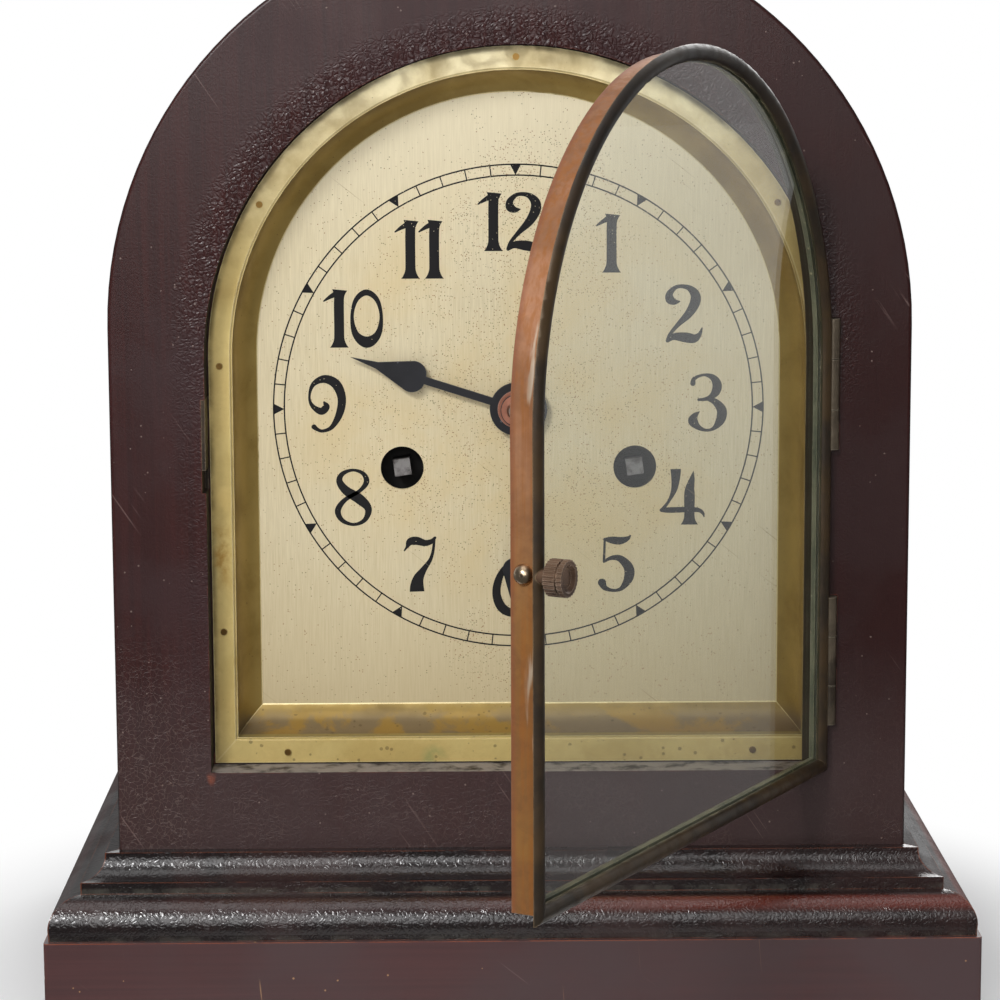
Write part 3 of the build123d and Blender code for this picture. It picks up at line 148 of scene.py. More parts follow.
def mix_colour(tree, share, first, second):
    """Colour between two others."""
    made = add_node(tree, "Mix", {0: share, 6: first, 7: second}, data_type="RGBA")
    return made.outputs[2]


def tinted(tree, mask, most, first, second):
    """Colour that turns into another under a mask, by the given share at most."""
    return mix_colour(tree, times(tree, mask, most), first, second)


def rest_place(tree):
    """Place on the solid at rest, in metres."""
    return add_node(tree, "TexCoord").outputs["Object"]


def stretched(tree, place, scale):
    """Place scaled along each axis."""
    return add_node(tree, "Mapping", {"Vector": place, "Scale": scale}).outputs[0]


def noise(tree, place, scale, detail=2.0, roughness=0.5, distortion=0.0):
    """Cloudy value around one half."""
    inputs = {"Vector": place, "Scale": scale, "Detail": detail, "Roughness": roughness,
              "Distortion": distortion}
    return add_node(tree, "TexNoise", inputs).outputs[0]


def split_place(tree, place):
    """The three coordinates of a place."""
    made = add_node(tree, "SeparateXYZ", {0: place})
    return made.outputs[0], made.outputs[1], made.outputs[2]


# Effects that several finishes share

def new_effect(name, inputs, outputs):
    """Empty effect group with named values in and out; returns the group, its tree and its input sockets."""
    group = bpy.data.node_groups.new(name, "ShaderNodeTree")
    for label, value in inputs.items():
        kind = "NodeSocketVector" if isinstance(value, tuple) else "NodeSocketFloat"
        socket = group.interface.new_socket(name=label, in_out="INPUT", socket_type=kind)
        socket.default_value = value
    for label in outputs:
        group.interface.new_socket(name=label, in_out="OUTPUT", socket_type="NodeSocketFloat")
    given = group.nodes.new("NodeGroupInput").outputs
    result = group.nodes.new("NodeGroupOutput").inputs
    return group, given, result


def grain_effect():
    """Streaks of wood grain or brushing, long along the axis with the smallest scale."""
    group, given, result = new_effect("grain", {"Scale": (400.0, 400.0, 12.0)}, ["Streaks", "Fine"])
    place = stretched(group, rest_place(group), given["Scale"])
    broad = noise(group, place, 0.25, 3.0, 0.6, 0.4)
    fine = noise(group, place, 1.6, 4.0, 0.7)
    group.links.new(fade(group, broad, 0.32, 0.68), result["Streaks"])
    group.links.new(fade(group, fine, 0.35, 0.65), result["Fine"])
    return group


def crackle_effect():
    """Network of cracks with raised islands between them."""
    group, given, result = new_effect("crackle", {"Cells": 700.0, "Line": 0.05}, ["Cracks", "Islands"])
    place = rest_place(group)
    wander = add_node(group, "TexNoise", {"Vector": place, "Scale": 260.0, "Detail": 2.0}).outputs["Color"]
    shifted = add_node(group, "MixRGB", {0: 0.004, 1: place, 2: wander}, blend_type="ADD").outputs[0]
    cells = add_node(group, "TexVoronoi", {"Vector": shifted, "Scale": given["Cells"]},
                     feature="DISTANCE_TO_EDGE").outputs["Distance"]
    line = maths(group, "DIVIDE", cells, given["Line"])
    group.links.new(fade(group, line, 0.3, 1.0, 1.0, 0.0), result["Cracks"])
    group.links.new(fade(group, cells, 0.0, 0.3), result["Islands"])
    return group


def edge_wear_effect():
    """Rubbed edges: where a slightly rounded copy of the surface turns away from the surface itself."""
    group, given, result = new_effect("edge_wear", {"Width": 0.0006, "Patchy": 0.5}, ["Wear"])
    rounded = add_node(group, "Bevel", {"Radius": given["Width"]}, samples=3).outputs[0]
    flat = add_node(group, "NewGeometry").outputs["Normal"]
    alike = add_node(group, "VectorMath", {0: rounded, 1: flat}, operation="DOT_PRODUCT").outputs["Value"]
    edge = fade(group, alike, 0.995, 0.9)
    patches = noise(group, rest_place(group), 90.0, 5.0, 0.65)
    kept = fade(group, maths(group, "SUBTRACT", patches, given["Patchy"]), -0.12, 0.05)
    group.links.new(times(group, edge, kept), result["Wear"])
    return group


def speckle_effect():
    """Small round specks; Share is how many of the places for one are filled."""
    group, given, result = new_effect("speckle", {"Cells": 700.0, "Share": 0.2}, ["Specks"])
    made = add_node(group, "TexVoronoi", {"Vector": rest_place(group), "Scale": given["Cells"]})
    chance = add_node(group, "SeparateColor", {0: made.outputs["Color"]})
    filled = maths(group, "LESS_THAN", chance.outputs[0], given["Share"])
    size = times(group, chance.outputs[1], 0.34)
    near = maths(group, "SUBTRACT", maths(group, "ADD", size, 0.06), made.outputs["Distance"])
    group.links.new(times(group, filled, fade(group, near, 0.0, 0.08)), result["Specks"])
    return group


def cloud_effect():
    """Soft patches of tarnish, dirt or fading, from 0 to 1."""
    group, given, result = new_effect("clouds", {"Scale": 40.0, "Low": 0.4, "High": 0.65}, ["Patches"])
    cloud = noise(group, rest_place(group), given["Scale"], 6.0, 0.62, 0.3)
    group.links.new(fade(group, cloud, given["Low"], given["High"]), result["Patches"])
    return group


def scratch_effect():
    """Sparse thin scratches along a slanting way."""
    group, given, result = new_effect("scratches", {"Turn": (0.0, 0.5, 0.0), "Share": 0.66}, ["Lines"])
    turned = add_node(group, "Mapping", {"Vector": rest_place(group), "Rotation": given["Turn"]}).outputs[0]
    long_way = stretched(group, turned, (1500.0, 1500.0, 26.0))
    hair = noise(group, long_way, 1.0, 1.0, 0.4)
    patch = noise(group, turned, 34.0, 2.0)
    line = fade(group, hair, given["Share"], maths(group, "ADD", given["Share"], 0.05))
    group.links.new(times(group, line, fade(group, patch, 0.5, 0.62)), result["Lines"])
    return group


grain = grain_effect()
crackle = crackle_effect()
edge_wear = edge_wear_effect()
speckle = speckle_effect()
clouds = cloud_effect()
scratches = scratch_effect()


def use(tree, group, **values):
    """Places an effect in a material with its own values; returns its outputs."""
    inputs = {name.capitalize(): value for name, value in values.items()}
    return add_node(tree, "Group", inputs, node_tree=group).outputs


def new_finish(name, **constants):
    """Material with one shader; the constants are set on the shader's own sockets."""
    material = bpy.data.materials.new(name)
    material.use_nodes = True
    tree = material.node_tree
    tree.nodes.clear()
    inputs = {}
    for label, value in constants.items():
        inputs[label.replace("_", " ").title().replace("Ior", "IOR")] = value
    shader = add_node(tree, "BsdfPrincipled", inputs)
    add_node(tree, "OutputMaterial", {"Surface": shader.outputs[0]})
    return material, tree, shader.inputs


def raise_surface(tree, sockets, height, distance, strength=1.0):
    """Bump from a height, with its depth in mm."""
    bump = add_node(tree, "Bump", {"Height": height, "Distance": distance * mm, "Strength": strength})
    tree.links.new(bump.outputs[0], sockets["Normal"])


def between(tree, height, ends):
    """1 between two heights, fading in and out over the given ends in mm."""
    rise_low, rise_high, fall_low, fall_high = (end * mm for end in ends)
    rise = fade(tree, height, rise_low, rise_high)
    return times(tree, rise, fade(tree, height, fall_low, fall_high, 1.0, 0.0))


def opening_distance(tree, x, z):
    """Distance outside the arched opening of the front board, in metres, along the board."""
    across = maths(tree, "SUBTRACT", x, dial.x)
    above = maths(tree, "MAXIMUM", maths(tree, "SUBTRACT", z, dial.z + opening_spring * mm), 0.0)
    return maths(tree, "SUBTRACT", length(tree, across, above), opening_half * mm)


# Finishes of the wood

def varnished_front():
    """Dark mahogany under old varnish: crackled low down, alligatored along the arch, rubbed at the edges."""
    material, tree, sockets = new_finish("varnished_front", ior=1.42)
    link = tree.links.new
    x, y, z = split_place(tree, rest_place(tree))
    wood = use(tree, grain, scale=(2600.0, 2600.0, 60.0))
    patches = use(tree, clouds, scale=22.0, low=0.38, high=0.66)["Patches"]
    broken = use(tree, clouds, scale=70.0, low=0.42, high=0.6)["Patches"]
    colour = mix_colour(tree, wood["Streaks"], shade(47, 21, 20), shade(56, 24, 22))
    colour = tinted(tree, patches, 0.6, colour, shade(50, 25, 27))
    # Painted shade: the right side of the board turns darker and redder, where the open door keeps the light
    # off.
    colour = mix_colour(tree, fade(tree, x, 10 * mm, 95 * mm, 0.0, 0.75), colour, shade(40, 14, 12))
    colour = mix_colour(tree, fade(tree, z, 60 * mm, 100 * mm, 0.7, 0.0), colour, shade(62, 46, 45))
    distance = opening_distance(tree, x, z)
    upper = fade(tree, z, 150 * mm, 220 * mm, 0.15, 1.0)
    left = fade(tree, x, 30 * mm, 80 * mm, 1.0, 0.35)
    near_opening = fade(tree, distance, 1 * mm, 11 * mm, 1.0, 0.0)
    band = times(tree, near_opening, times(tree, upper, left))
    low_left = times(tree, fade(tree, x, -92 * mm, -74 * mm, 1.0, 0.15),
                     fade(tree, z, 72 * mm, 112 * mm, 1.0, 0.0))
    rail = times(tree, fade(tree, z, 62 * mm, 67 * mm, 0.5, 0.0), broken)
    net = use(tree, crackle, cells=680.0, line=0.06)["Cracks"]
    crack_lines = times(tree, net, maths(tree, "MAXIMUM", low_left, rail))
    colour = tinted(tree, crack_lines, 0.24, colour, shade(122, 104, 96))
    lines = use(tree, scratches, turn=(0.0, 0.6, 0.0), share=0.71)["Lines"]
    colour = tinted(tree, lines, 0.3, colour, shade(140, 116, 110))
    chips = use(tree, speckle, cells=1400.0, share=0.02)["Specks"]
    colour = tinted(tree, chips, 0.3, colour, shade(170, 150, 140))
    worn = use(tree, edge_wear, width=0.5 * mm, patchy=0.56)["Wear"]
    colour = tinted(tree, worn, 0.6, colour, shade(116, 56, 34))
    facing = split_place(tree, add_node(tree, "NewGeometry").outputs["Normal"])
    # Painted shade: faces turned away from the front, as in the recess reveal, go near-black; there they are
    # also rougher and lose their bumps.
    reveal_painted_shade = fade(tree, facing[1], -0.8, -0.5)
    colour = tinted(tree, reveal_painted_shade, 0.85, colour, shade(16, 9, 8))
    corner_x = maths(tree, "SUBTRACT", x, dial.x - opening_half * mm)
    corner_z = maths(tree, "SUBTRACT", z, dial.z - opening_drop * mm)
    corner = length(tree, corner_x, times(tree, corner_z, 0.4))
    raw = times(tree, fade(tree, corner, 0.7 * mm, 1.6 * mm, 1.0, 0.0), broken)
    colour = tinted(tree, raw, 0.55, colour, shade(150, 72, 38))
    ledge = fade(tree, z, ledge_height[0] * mm, ledge_height[1] * mm, 1.0, 0.0)
    dusty = times(tree, fade(tree, facing[2], 0.7, 0.9), ledge)
    dusty = times(tree, dusty, use(tree, clouds, scale=180.0, low=0.3, high=0.55)["Patches"])
    colour = tinted(tree, dusty, 0.8, colour, shade(150, 142, 136))
    link(colour, sockets["Base Color"])
    rough = maths(tree, "ADD", fade(tree, patches, 0.0, 1.0, 0.3, 0.42), times(tree, reveal_painted_shade, 0.4))
    link(rough, sockets["Roughness"])
    skin = use(tree, crackle, cells=820.0, line=0.12)["Islands"]
    bumps = times(tree, skin, maths(tree, "ADD", times(tree, band, 0.95), 0.04))
    bumps = times(tree, bumps, maths(tree, "SUBTRACT", 1.0, reveal_painted_shade))
    sunk = maths(tree, "SUBTRACT", bumps, times(tree, crack_lines, 0.3))
    height = maths(tree, "ADD", sunk, times(tree, wood["Fine"], 0.03))
    raise_surface(tree, sockets, height, 0.22, 0.8)
    return material


def varnished_moulding(name, coat, smooth, rough, index):
    """Near-black crinkled varnish with rubbed orange edges and dust in the quirks."""
    material, tree, sockets = new_finish(name, coat_weight=coat, coat_roughness=0.24, ior=index)
    link = tree.links.new
    x, y, z = split_place(tree, rest_place(tree))
    patches = use(tree, clouds, scale=26.0, low=0.4, high=0.62)["Patches"]
    mottle = use(tree, clouds, scale=160.0, low=0.35, high=0.65)["Patches"]
    colour = mix_colour(tree, patches, shade(20, 12, 12), shade(38, 18, 16))
    red_side = fade(tree, x, -40 * mm, 60 * mm, 0.15, 1.0)
    round_top = between(tree, z, round_top_heights)
    colour = mix_colour(tree, times(tree, round_top, red_side), colour, shade(86, 30, 18))
    fillet = between(tree, z, fillet_heights)
    colour = mix_colour(tree, times(tree, times(tree, fillet, mottle), 0.22), colour,
                        shade(122, 120, 108))
    foot = times(tree, fade(tree, z, foot_heights[0] * mm, foot_heights[1] * mm, 1.0, 0.0), mottle)
    colour = tinted(tree, foot, 0.2, colour, shade(112, 108, 98))
    worn = use(tree, edge_wear, width=0.45 * mm, patchy=0.5)["Wear"]
    colour = tinted(tree, worn, 0.6, colour, shade(130, 68, 40))
    link(colour, sockets["Base Color"])
    link(fade(tree, patches, 0.0, 1.0, smooth, rough), sockets["Roughness"])
    skin = use(tree, crackle, cells=760.0, line=0.14)["Islands"]
    raise_surface(tree, sockets, skin, 0.16, 0.35)
    return material


def varnished_plinth():
    """Smoother purple-brown varnish with small tan chips and scratches."""
    material, tree, sockets = new_finish("varnished_plinth", ior=1.42)
    link = tree.links.new
    wood = use(tree, grain, scale=(40.0, 2200.0, 2200.0))
    patches = use(tree, clouds, scale=13.0, low=0.36, high=0.66)["Patches"]
    colour = mix_colour(tree, wood["Streaks"], shade(69, 45, 45), shade(77, 48, 48))
    colour = mix_colour(tree, patches, colour, shade(70, 52, 53))
    chips = use(tree, speckle, cells=620.0, share=0.02)["Specks"]
    colour = tinted(tree, chips, 0.7, colour, shade(180, 138, 96))
    lines = use(tree, scratches, turn=(0.0, 0.08, 0.0), share=0.73)["Lines"]
    colour = tinted(tree, lines, 0.8, colour, shade(184, 142, 98))
    slants = use(tree, scratches, turn=(0.0, 0.9, 0.0), share=0.7)["Lines"]
    colour = tinted(tree, slants, 0.22, colour, shade(150, 126, 120))
    worn = use(tree, edge_wear, width=0.5 * mm, patchy=0.47)["Wear"]
    colour = tinted(tree, worn, 0.8, colour, shade(166, 84, 46))
    link(colour, sockets["Base Color"])
    link(fade(tree, patches, 0.0, 1.0, 0.36, 0.48), sockets["Roughness"])
    height = maths(tree, "ADD", times(tree, patches, 0.1), times(tree, wood["Fine"], 0.08))
    raise_surface(tree, sockets, height, 0.1, 0.5)
    return material


def varnished_shell():
    """Bent veneer of the sides and top, with the grain running from front to back."""
    material, tree, sockets = new_finish("varnished_shell", coat_weight=0.15, coat_roughness=0.3, ior=1.45)
    link = tree.links.new
    wood = use(tree, grain, scale=(700.0, 14.0, 700.0))
    patches = use(tree, clouds, scale=18.0, low=0.36, high=0.66)["Patches"]
    colour = mix_colour(tree, wood["Streaks"], shade(46, 19, 17), shade(76, 29, 23))
    colour = tinted(tree, patches, 0.6, colour, shade(48, 25, 26))
    lines = use(tree, scratches, turn=(1.4, 0.2, 0.0), share=0.69)["Lines"]
    colour = tinted(tree, lines, 0.35, colour, shade(150, 116, 104))
    worn = use(tree, edge_wear, width=0.7 * mm, patchy=0.5)["Wear"]
    colour = tinted(tree, worn, 0.7, colour, shade(146, 72, 40))
    link(colour, sockets["Base Color"])
    link(fade(tree, patches, 0.0, 1.0, 0.28, 0.42), sockets["Roughness"])
    skin = use(tree, crackle, cells=900.0, line=0.12)["Islands"]
    height = maths(tree, "ADD", times(tree, skin, 0.2), times(tree, wood["Fine"], 0.1))
    raise_surface(tree, sockets, height, 0.13, 0.6)
    return material


def stained_back():
    """Plain back boards: open upright grain under a thin dull stain, dirty and rubbed at the edges."""
    material, tree, sockets = new_finish("stained_back", ior=1.45)
    link = tree.links.new
    wood = use(tree, grain, scale=(360.0, 360.0, 7.0))
    patches = use(tree, clouds, scale=14.0, low=0.38, high=0.68)["Patches"]
    colour = mix_colour(tree, wood["Streaks"], shade(92, 60, 38), shade(132, 90, 58))
    colour = mix_colour(tree, times(tree, wood["Fine"], 0.35), colour, shade(62, 40, 26))
    colour = tinted(tree, patches, 0.45, colour, shade(66, 44, 32))
    worn = use(tree, edge_wear, width=1.0 * mm, patchy=0.46)["Wear"]
    colour = tinted(tree, worn, 0.7, colour, shade(178, 136, 92))
    link(colour, sockets["Base Color"])
    link(fade(tree, wood["Fine"], 0.0, 1.0, 0.5, 0.72), sockets["Roughness"])
    raise_surface(tree, sockets, wood["Fine"], 0.12, 0.6)
    return material


# Finishes of the metal

def silvered_dial():
    """Silvered brass with fine upright brushing, brown specks and a yellowed middle."""
    material, tree, sockets = new_finish("silvered_dial", metallic=0.3, ior=1.45)
    link = tree.links.new
    x, y, z = split_place(tree, rest_place(tree))
    across = maths(tree, "SUBTRACT", x, dial.x)
    above = maths(tree, "SUBTRACT", z, dial.z)
    brush = use(tree, grain, scale=(15000.0, 15000.0, 420.0))
    patches = use(tree, clouds, scale=26.0, low=0.36, high=0.66)["Patches"]
    colour = mix_colour(tree, brush["Streaks"], shade(208, 194, 160), shade(221, 208, 175))
    reach = length(tree, across, above)
    aged = fade(tree, reach, 40 * mm, 70 * mm, 0.75, 0.1)
    colour = mix_colour(tree, times(tree, aged, patches), colour, shade(212, 190, 142))
    # Painted shade: the dial turns darker towards the bottom.
    painted_shade_low = fade(tree, above, -92 * mm, -20 * mm, 0.6, 0.0)
    colour = mix_colour(tree, painted_shade_low, colour, shade(184, 165, 124))
    # Painted light: the dial turns paler towards the top.
    colour = mix_colour(tree, fade(tree, above, 25 * mm, 90 * mm, 0.0, 0.5), colour, shade(232, 222, 194))
    dense = fade(tree, reach, 15 * mm, 62 * mm, 0.6, 0.12)
    for spot_x, spot_z, spot_reach in speck_spots:
        off_x = maths(tree, "SUBTRACT", across, spot_x * mm)
        off_z = maths(tree, "SUBTRACT", above, spot_z * mm)
        off = length(tree, off_x, off_z)
        near = fade(tree, off, 0.4 * spot_reach * mm, spot_reach * mm, 1.0, 0.0)
        dense = maths(tree, "MAXIMUM", dense, near)
    patchy = use(tree, clouds, scale=150.0, low=0.34, high=0.6)["Patches"]
    share = times(tree, dense, patchy)
    small_specks = use(tree, speckle, cells=2300.0, share=times(tree, share, 1.5))["Specks"]
    large_specks = use(tree, speckle, cells=1200.0, share=times(tree, share, 0.45))["Specks"]
    tint = use(tree, clouds, scale=420.0, low=0.42, high=0.58)["Patches"]
    speck_colour = mix_colour(tree, tint, shade(140, 84, 40), shade(104, 96, 58))
    specks = maths(tree, "MAXIMUM", small_specks, large_specks)
    colour = tinted(tree, specks, 0.75, colour, speck_colour)
    lines = use(tree, scratches, turn=(0.0, 0.9, 0.0), share=0.71)["Lines"]
    colour = tinted(tree, lines, 0.45, colour, shade(142, 118, 76))
    link(colour, sockets["Base Color"])
    link(fade(tree, brush["Fine"], 0.0, 1.0, 0.42, 0.52), sockets["Roughness"])
    raise_surface(tree, sockets, brush["Fine"], 0.01, 0.25)
    return material


def surround_brass():
    """Pressed brass: bright flange made paler towards the top as painted light, olive tarnish with painted
    shade in the hollow, dirt at the outer edge.
    """
    material, tree, sockets = new_finish("surround_brass", metallic=0.45, ior=1.5)
    link = tree.links.new
    x, y, z = split_place(tree, rest_place(tree))
    patches = use(tree, clouds, scale=38.0, low=0.4, high=0.64)["Patches"]
    mottle = use(tree, clouds, scale=150.0, low=0.38, high=0.66)["Patches"]
    top = fade(tree, z, dial.z + 30 * mm, dial.z + 88 * mm)
    sill = fade(tree, z, dial.z - 84 * mm, dial.z - 78 * mm, 1.0, 0.0)
    flange = fade(tree, y, dial.y - 11.2 * mm, dial.y - 10.7 * mm, 1.0, 0.0)
    hollow = mix_colour(tree, patches, shade(166, 140, 78), shade(140, 115, 58))
    sill_tarnish = mix_colour(tree, use(tree, clouds, scale=60.0, low=0.45, high=0.55)["Patches"],
                              shade(122, 105, 78), shade(148, 118, 56))
    hollow = mix_colour(tree, sill, hollow, sill_tarnish)
    step = times(tree, fade(tree, y, dial.y - 8.4 * mm, dial.y - 8.0 * mm, 1.0, 0.0), sill)
    hollow = tinted(tree, step, 0.8, hollow, shade(164, 148, 92))
    # Painted light: the flange face turns paler towards the top.
    face = mix_colour(tree, top, shade(218, 194, 126), shade(252, 238, 194))
    face = tinted(tree, patches, 0.5, face, shade(188, 160, 92))
    face = tinted(tree, mottle, 0.25, face, shade(166, 134, 72))
    # The hollow is darker than the flange face: olive tarnish, and painted shade for the darker surroundings
    # it reflects.
    colour = mix_colour(tree, flange, hollow, face)
    outer = fade(tree, opening_distance(tree, x, z), -2.2 * mm, -0.6 * mm)
    dirt = times(tree, outer, use(tree, clouds, scale=60.0, low=0.36, high=0.6)["Patches"])
    colour = tinted(tree, dirt, 0.6, colour, shade(72, 58, 32))
    stains = use(tree, speckle, cells=700.0, share=times(tree, sill, 0.2))["Specks"]
    colour = tinted(tree, stains, 0.5, colour, shade(80, 64, 36))
    specks = use(tree, speckle, cells=1700.0, share=0.06)["Specks"]
    colour = tinted(tree, specks, 0.5, colour, shade(92, 70, 36))
    rust_x = maths(tree, "SUBTRACT", x, dial.x - 76.5 * mm)
    rust_z = times(tree, maths(tree, "SUBTRACT", z, dial.z - 37 * mm), 0.32)
    rust = length(tree, rust_x, rust_z)
    stain = times(tree, fade(tree, rust, 1.0 * mm, 4.0 * mm, 1.0, 0.0), mottle)
    colour = tinted(tree, stain, 0.8, colour, shade(170, 122, 30))
    green_x = maths(tree, "SUBTRACT", x, dial.x - 22 * mm)
    green_z = maths(tree, "SUBTRACT", z, dial.z - 91 * mm)
    green = length(tree, green_x, green_z)
    crust = times(tree, fade(tree, green, 1.0 * mm, 4.5 * mm, 1.0, 0.0), mottle)
    colour = tinted(tree, crust, 0.6, colour, shade(128, 150, 96))
    rubbed = use(tree, edge_wear, width=0.4 * mm, patchy=0.38)["Wear"]
    colour = tinted(tree, rubbed, 0.85, colour, shade(246, 230, 178))
    link(colour, sockets["Base Color"])
    rough = maths(tree, "ADD", fade(tree, mottle, 0.0, 1.0, 0.3, 0.44), times(tree, dirt, 0.3))
    link(rough, sockets["Roughness"])
    raise_surface(tree, sockets, mottle, 0.03, 0.4)
    return material


def door_brass():
    """Door frame: copper-brown edge band with pale scuffs, dark olive bead, rubbed pale edges."""
    material, tree, sockets = new_finish("door_brass", metallic=0.4, ior=1.45)
    link = tree.links.new
    swing = math.radians(-frame_joint("door_swing")["range_deg"][0])
    place = rest_place(tree)
    offset = add_node(tree, "VectorMath", {0: place, 1: tuple(joint_places["door_swing"])},
                      operation="SUBTRACT").outputs[0]
    forward = (math.sin(swing), -math.cos(swing), 0.0)
    depth = add_node(tree, "VectorMath", {0: offset, 1: forward}, operation="DOT_PRODUCT").outputs["Value"]
    along = (math.cos(swing), math.sin(swing), 0.0)
    across = add_node(tree, "VectorMath", {0: offset, 1: along}, operation="DOT_PRODUCT").outputs["Value"]
    across = maths(tree, "ADD", across, door_offset * mm)
    z = split_place(tree, place)[2]
    above = maths(tree, "MAXIMUM", maths(tree, "SUBTRACT", z, dial.z + opening_spring * mm), 0.0)
    reach = length(tree, across, above)
    rail_face = fade(tree, z, dial.z - (door_drop - 0.2) * mm, dial.z - (door_drop - 0.6) * mm, 1.0, 0.0)
    round_side = fade(tree, reach, (door_half - 0.6) * mm, (door_half - 0.2) * mm)
    outside = maths(tree, "MAXIMUM", round_side, rail_face)
    bead = fade(tree, depth, -1.3 * mm, -1.0 * mm)
    patches = use(tree, clouds, scale=46.0, low=0.4, high=0.62)["Patches"]
    mottle = use(tree, clouds, scale=190.0, low=0.4, high=0.64)["Patches"]
    band = mix_colour(tree, fade(tree, z, 120 * mm, 185 * mm), shade(150, 106, 56), shade(176, 126, 94))
    band = tinted(tree, patches, 0.6, band, shade(130, 86, 52))
    drawn_place = stretched(tree, place, (700.0, 700.0, 24.0))
    streaks = fade(tree, noise(tree, drawn_place, 1.0, 3.0, 0.6), 0.42, 0.62)
    band = tinted(tree, streaks, 0.55, band, shade(158, 96, 40))
    back_edge = fade(tree, depth, -7.3 * mm, -5.8 * mm, 0.6, 0.0)
    band = mix_colour(tree, back_edge, band, shade(136, 82, 62))
    band = mix_colour(tree, outside, shade(52, 50, 34), band)
    round_face = mix_colour(tree, patches, shade(72, 56, 36), shade(50, 42, 33))
    round_face = mix_colour(tree, fade(tree, z, 200 * mm, 245 * mm, 0.0, 0.7), round_face, shade(40, 37, 35))
    colour = mix_colour(tree, bead, band, round_face)
    colour = tinted(tree, mottle, 0.2, colour, shade(70, 50, 34))
    stretched_place = stretched(tree, place, (260.0, 260.0, 26.0))
    scuffs = fade(tree, noise(tree, stretched_place, 1.0, 3.0, 0.6), 0.62, 0.7)
    near_bead = times(tree, fade(tree, depth, -4.6 * mm, -1.6 * mm), outside)
    scuffs = times(tree, scuffs, maths(tree, "SUBTRACT", near_bead, bead))
    colour = tinted(tree, scuffs, 0.75, colour, shade(214, 206, 186))
    rubbed = use(tree, edge_wear, width=0.4 * mm, patchy=0.5)["Wear"]
    colour = tinted(tree, rubbed, 0.45, colour, shade(176, 150, 116))
    link(colour, sockets["Base Color"])
    link(fade(tree, mottle, 0.0, 1.0, 0.36, 0.5), sockets["Roughness"])
    raise_surface(tree, sockets, mottle, 0.02, 0.4)
    return material


def aged_metal(name, bright, dull, dark, smooth, rough, wear_colour, cloud_scale=60.0, metallic=1.0):
    """Metal with patches of tarnish, dark specks and rubbed edges."""
    material, tree, sockets = new_finish(name, metallic=metallic)
    link = tree.links.new
    patches = use(tree, clouds, scale=cloud_scale, low=0.38, high=0.66)["Patches"]
    specks = use(tree, speckle, cells=900.0, share=0.12)["Specks"]
    colour = mix_colour(tree, patches, bright, dull)
    colour = tinted(tree, specks, 0.6, colour, dark)
    rubbed = use(tree, edge_wear, width=0.35 * mm, patchy=0.42)["Wear"]
    colour = tinted(tree, rubbed, 0.6, colour, wear_colour)
    link(colour, sockets["Base Color"])
    link(fade(tree, patches, 0.0, 1.0, smooth, rough), sockets["Roughness"])
    raise_surface(tree, sockets, patches, 0.02, 0.4)
    return material


def winding_steel():
    """Winding arbors: a worn bright end on the square, black oil and shadow further in."""
    material, tree, sockets = new_finish("winding_steel", metallic=0.6)
    front_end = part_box("going_winding_arbor")[0].y
    y = split_place(tree, rest_place(tree))[1]
    patches = use(tree, clouds, scale=240.0, low=0.38, high=0.66)["Patches"]
    inside = fade(tree, y, front_end + 0.5 * mm, front_end + 3.0 * mm)
    colour = mix_colour(tree, patches, shade(164, 160, 158), shade(84, 78, 75))
    colour = mix_colour(tree, inside, colour, mix_colour(tree, patches, shade(14, 12, 11), shade(24, 21, 18)))
    tree.links.new(colour, sockets["Base Color"])
    tree.links.new(fade(tree, inside, 0.0, 1.0, 0.24, 0.6), sockets["Roughness"])
    raise_surface(tree, sockets, patches, 0.05, 0.5)
    return material


def minute_hand_steel():
    """Blued steel of the minute hand, with a copper boss around the centre."""
    material, tree, sockets = new_finish("minute_hand_steel", metallic=0.5)
    x, y, z = split_place(tree, rest_place(tree))
    across = maths(tree, "SUBTRACT", x, dial.x)
    above = maths(tree, "SUBTRACT", z, dial.z)
    reach = length(tree, across, above)
    patches = use(tree, clouds, scale=120.0, low=0.38, high=0.66)["Patches"]
    dark = mix_colour(tree, patches, shade(44, 44, 48), shade(32, 32, 35))
    warm = mix_colour(tree, patches, shade(178, 120, 98), shade(132, 84, 66))
    colour = mix_colour(tree, fade(tree, reach, 3.9 * mm, 4.1 * mm, 1.0, 0.0), dark, warm)
    tree.links.new(colour, sockets["Base Color"])
    tree.links.new(fade(tree, patches, 0.0, 1.0, 0.38, 0.52), sockets["Roughness"])
    raise_surface(tree, sockets, patches, 0.02, 0.4)
    return material


def window_glass():
    """Flat old glass with a faint green cast; shadows pass through it."""
    material, tree, sockets = new_finish("window_glass", base_color=(0.96, 0.985, 0.97, 1.0), roughness=0.0,
                                         ior=1.5, transmission_weight=1.0)
    shader = sockets["Base Color"].node
    clear = add_node(tree, "BsdfTransparent", {"Color": (0.76, 0.79, 0.77, 1.0)})
    shadow = add_node(tree, "LightPath").outputs["Is Shadow Ray"]
    both = add_node(tree, "MixShader", {0: shadow, 1: shader.outputs[0], 2: clear.outputs[0]})
    output = next(node for node in tree.nodes if node.type == "OUTPUT_MATERIAL")
    tree.links.new(both.outputs[0], output.inputs["Surface"])
    return material


def printed_black():
    """Black print on the dial, worn through in flecks, most of all near the top."""
    material, tree, sockets = new_finish("printed_black", base_color=shade(30, 29, 30), roughness=0.6,
                                         specular_ior_level=0.15)
    x, y, z = split_place(tree, rest_place(tree))
    top = fade(tree, z, dial.z + 40 * mm, dial.z + 56 * mm, 0.03, 0.3)
    flecks = use(tree, speckle, cells=1900.0, share=top)["Specks"]
    rubbed = use(tree, scratches, turn=(0.0, 0.9, 0.0), share=0.72)["Lines"]
    gone = maths(tree, "MAXIMUM", flecks, times(tree, rubbed, 0.7))
    tree.links.new(maths(tree, "SUBTRACT", 1.0, gone), sockets["Alpha"])
    return material


def frame_joint(name):
    """Joint of the frame by its name."""
    return next(joint for joint in frame["joints"] if joint["name"] == name)


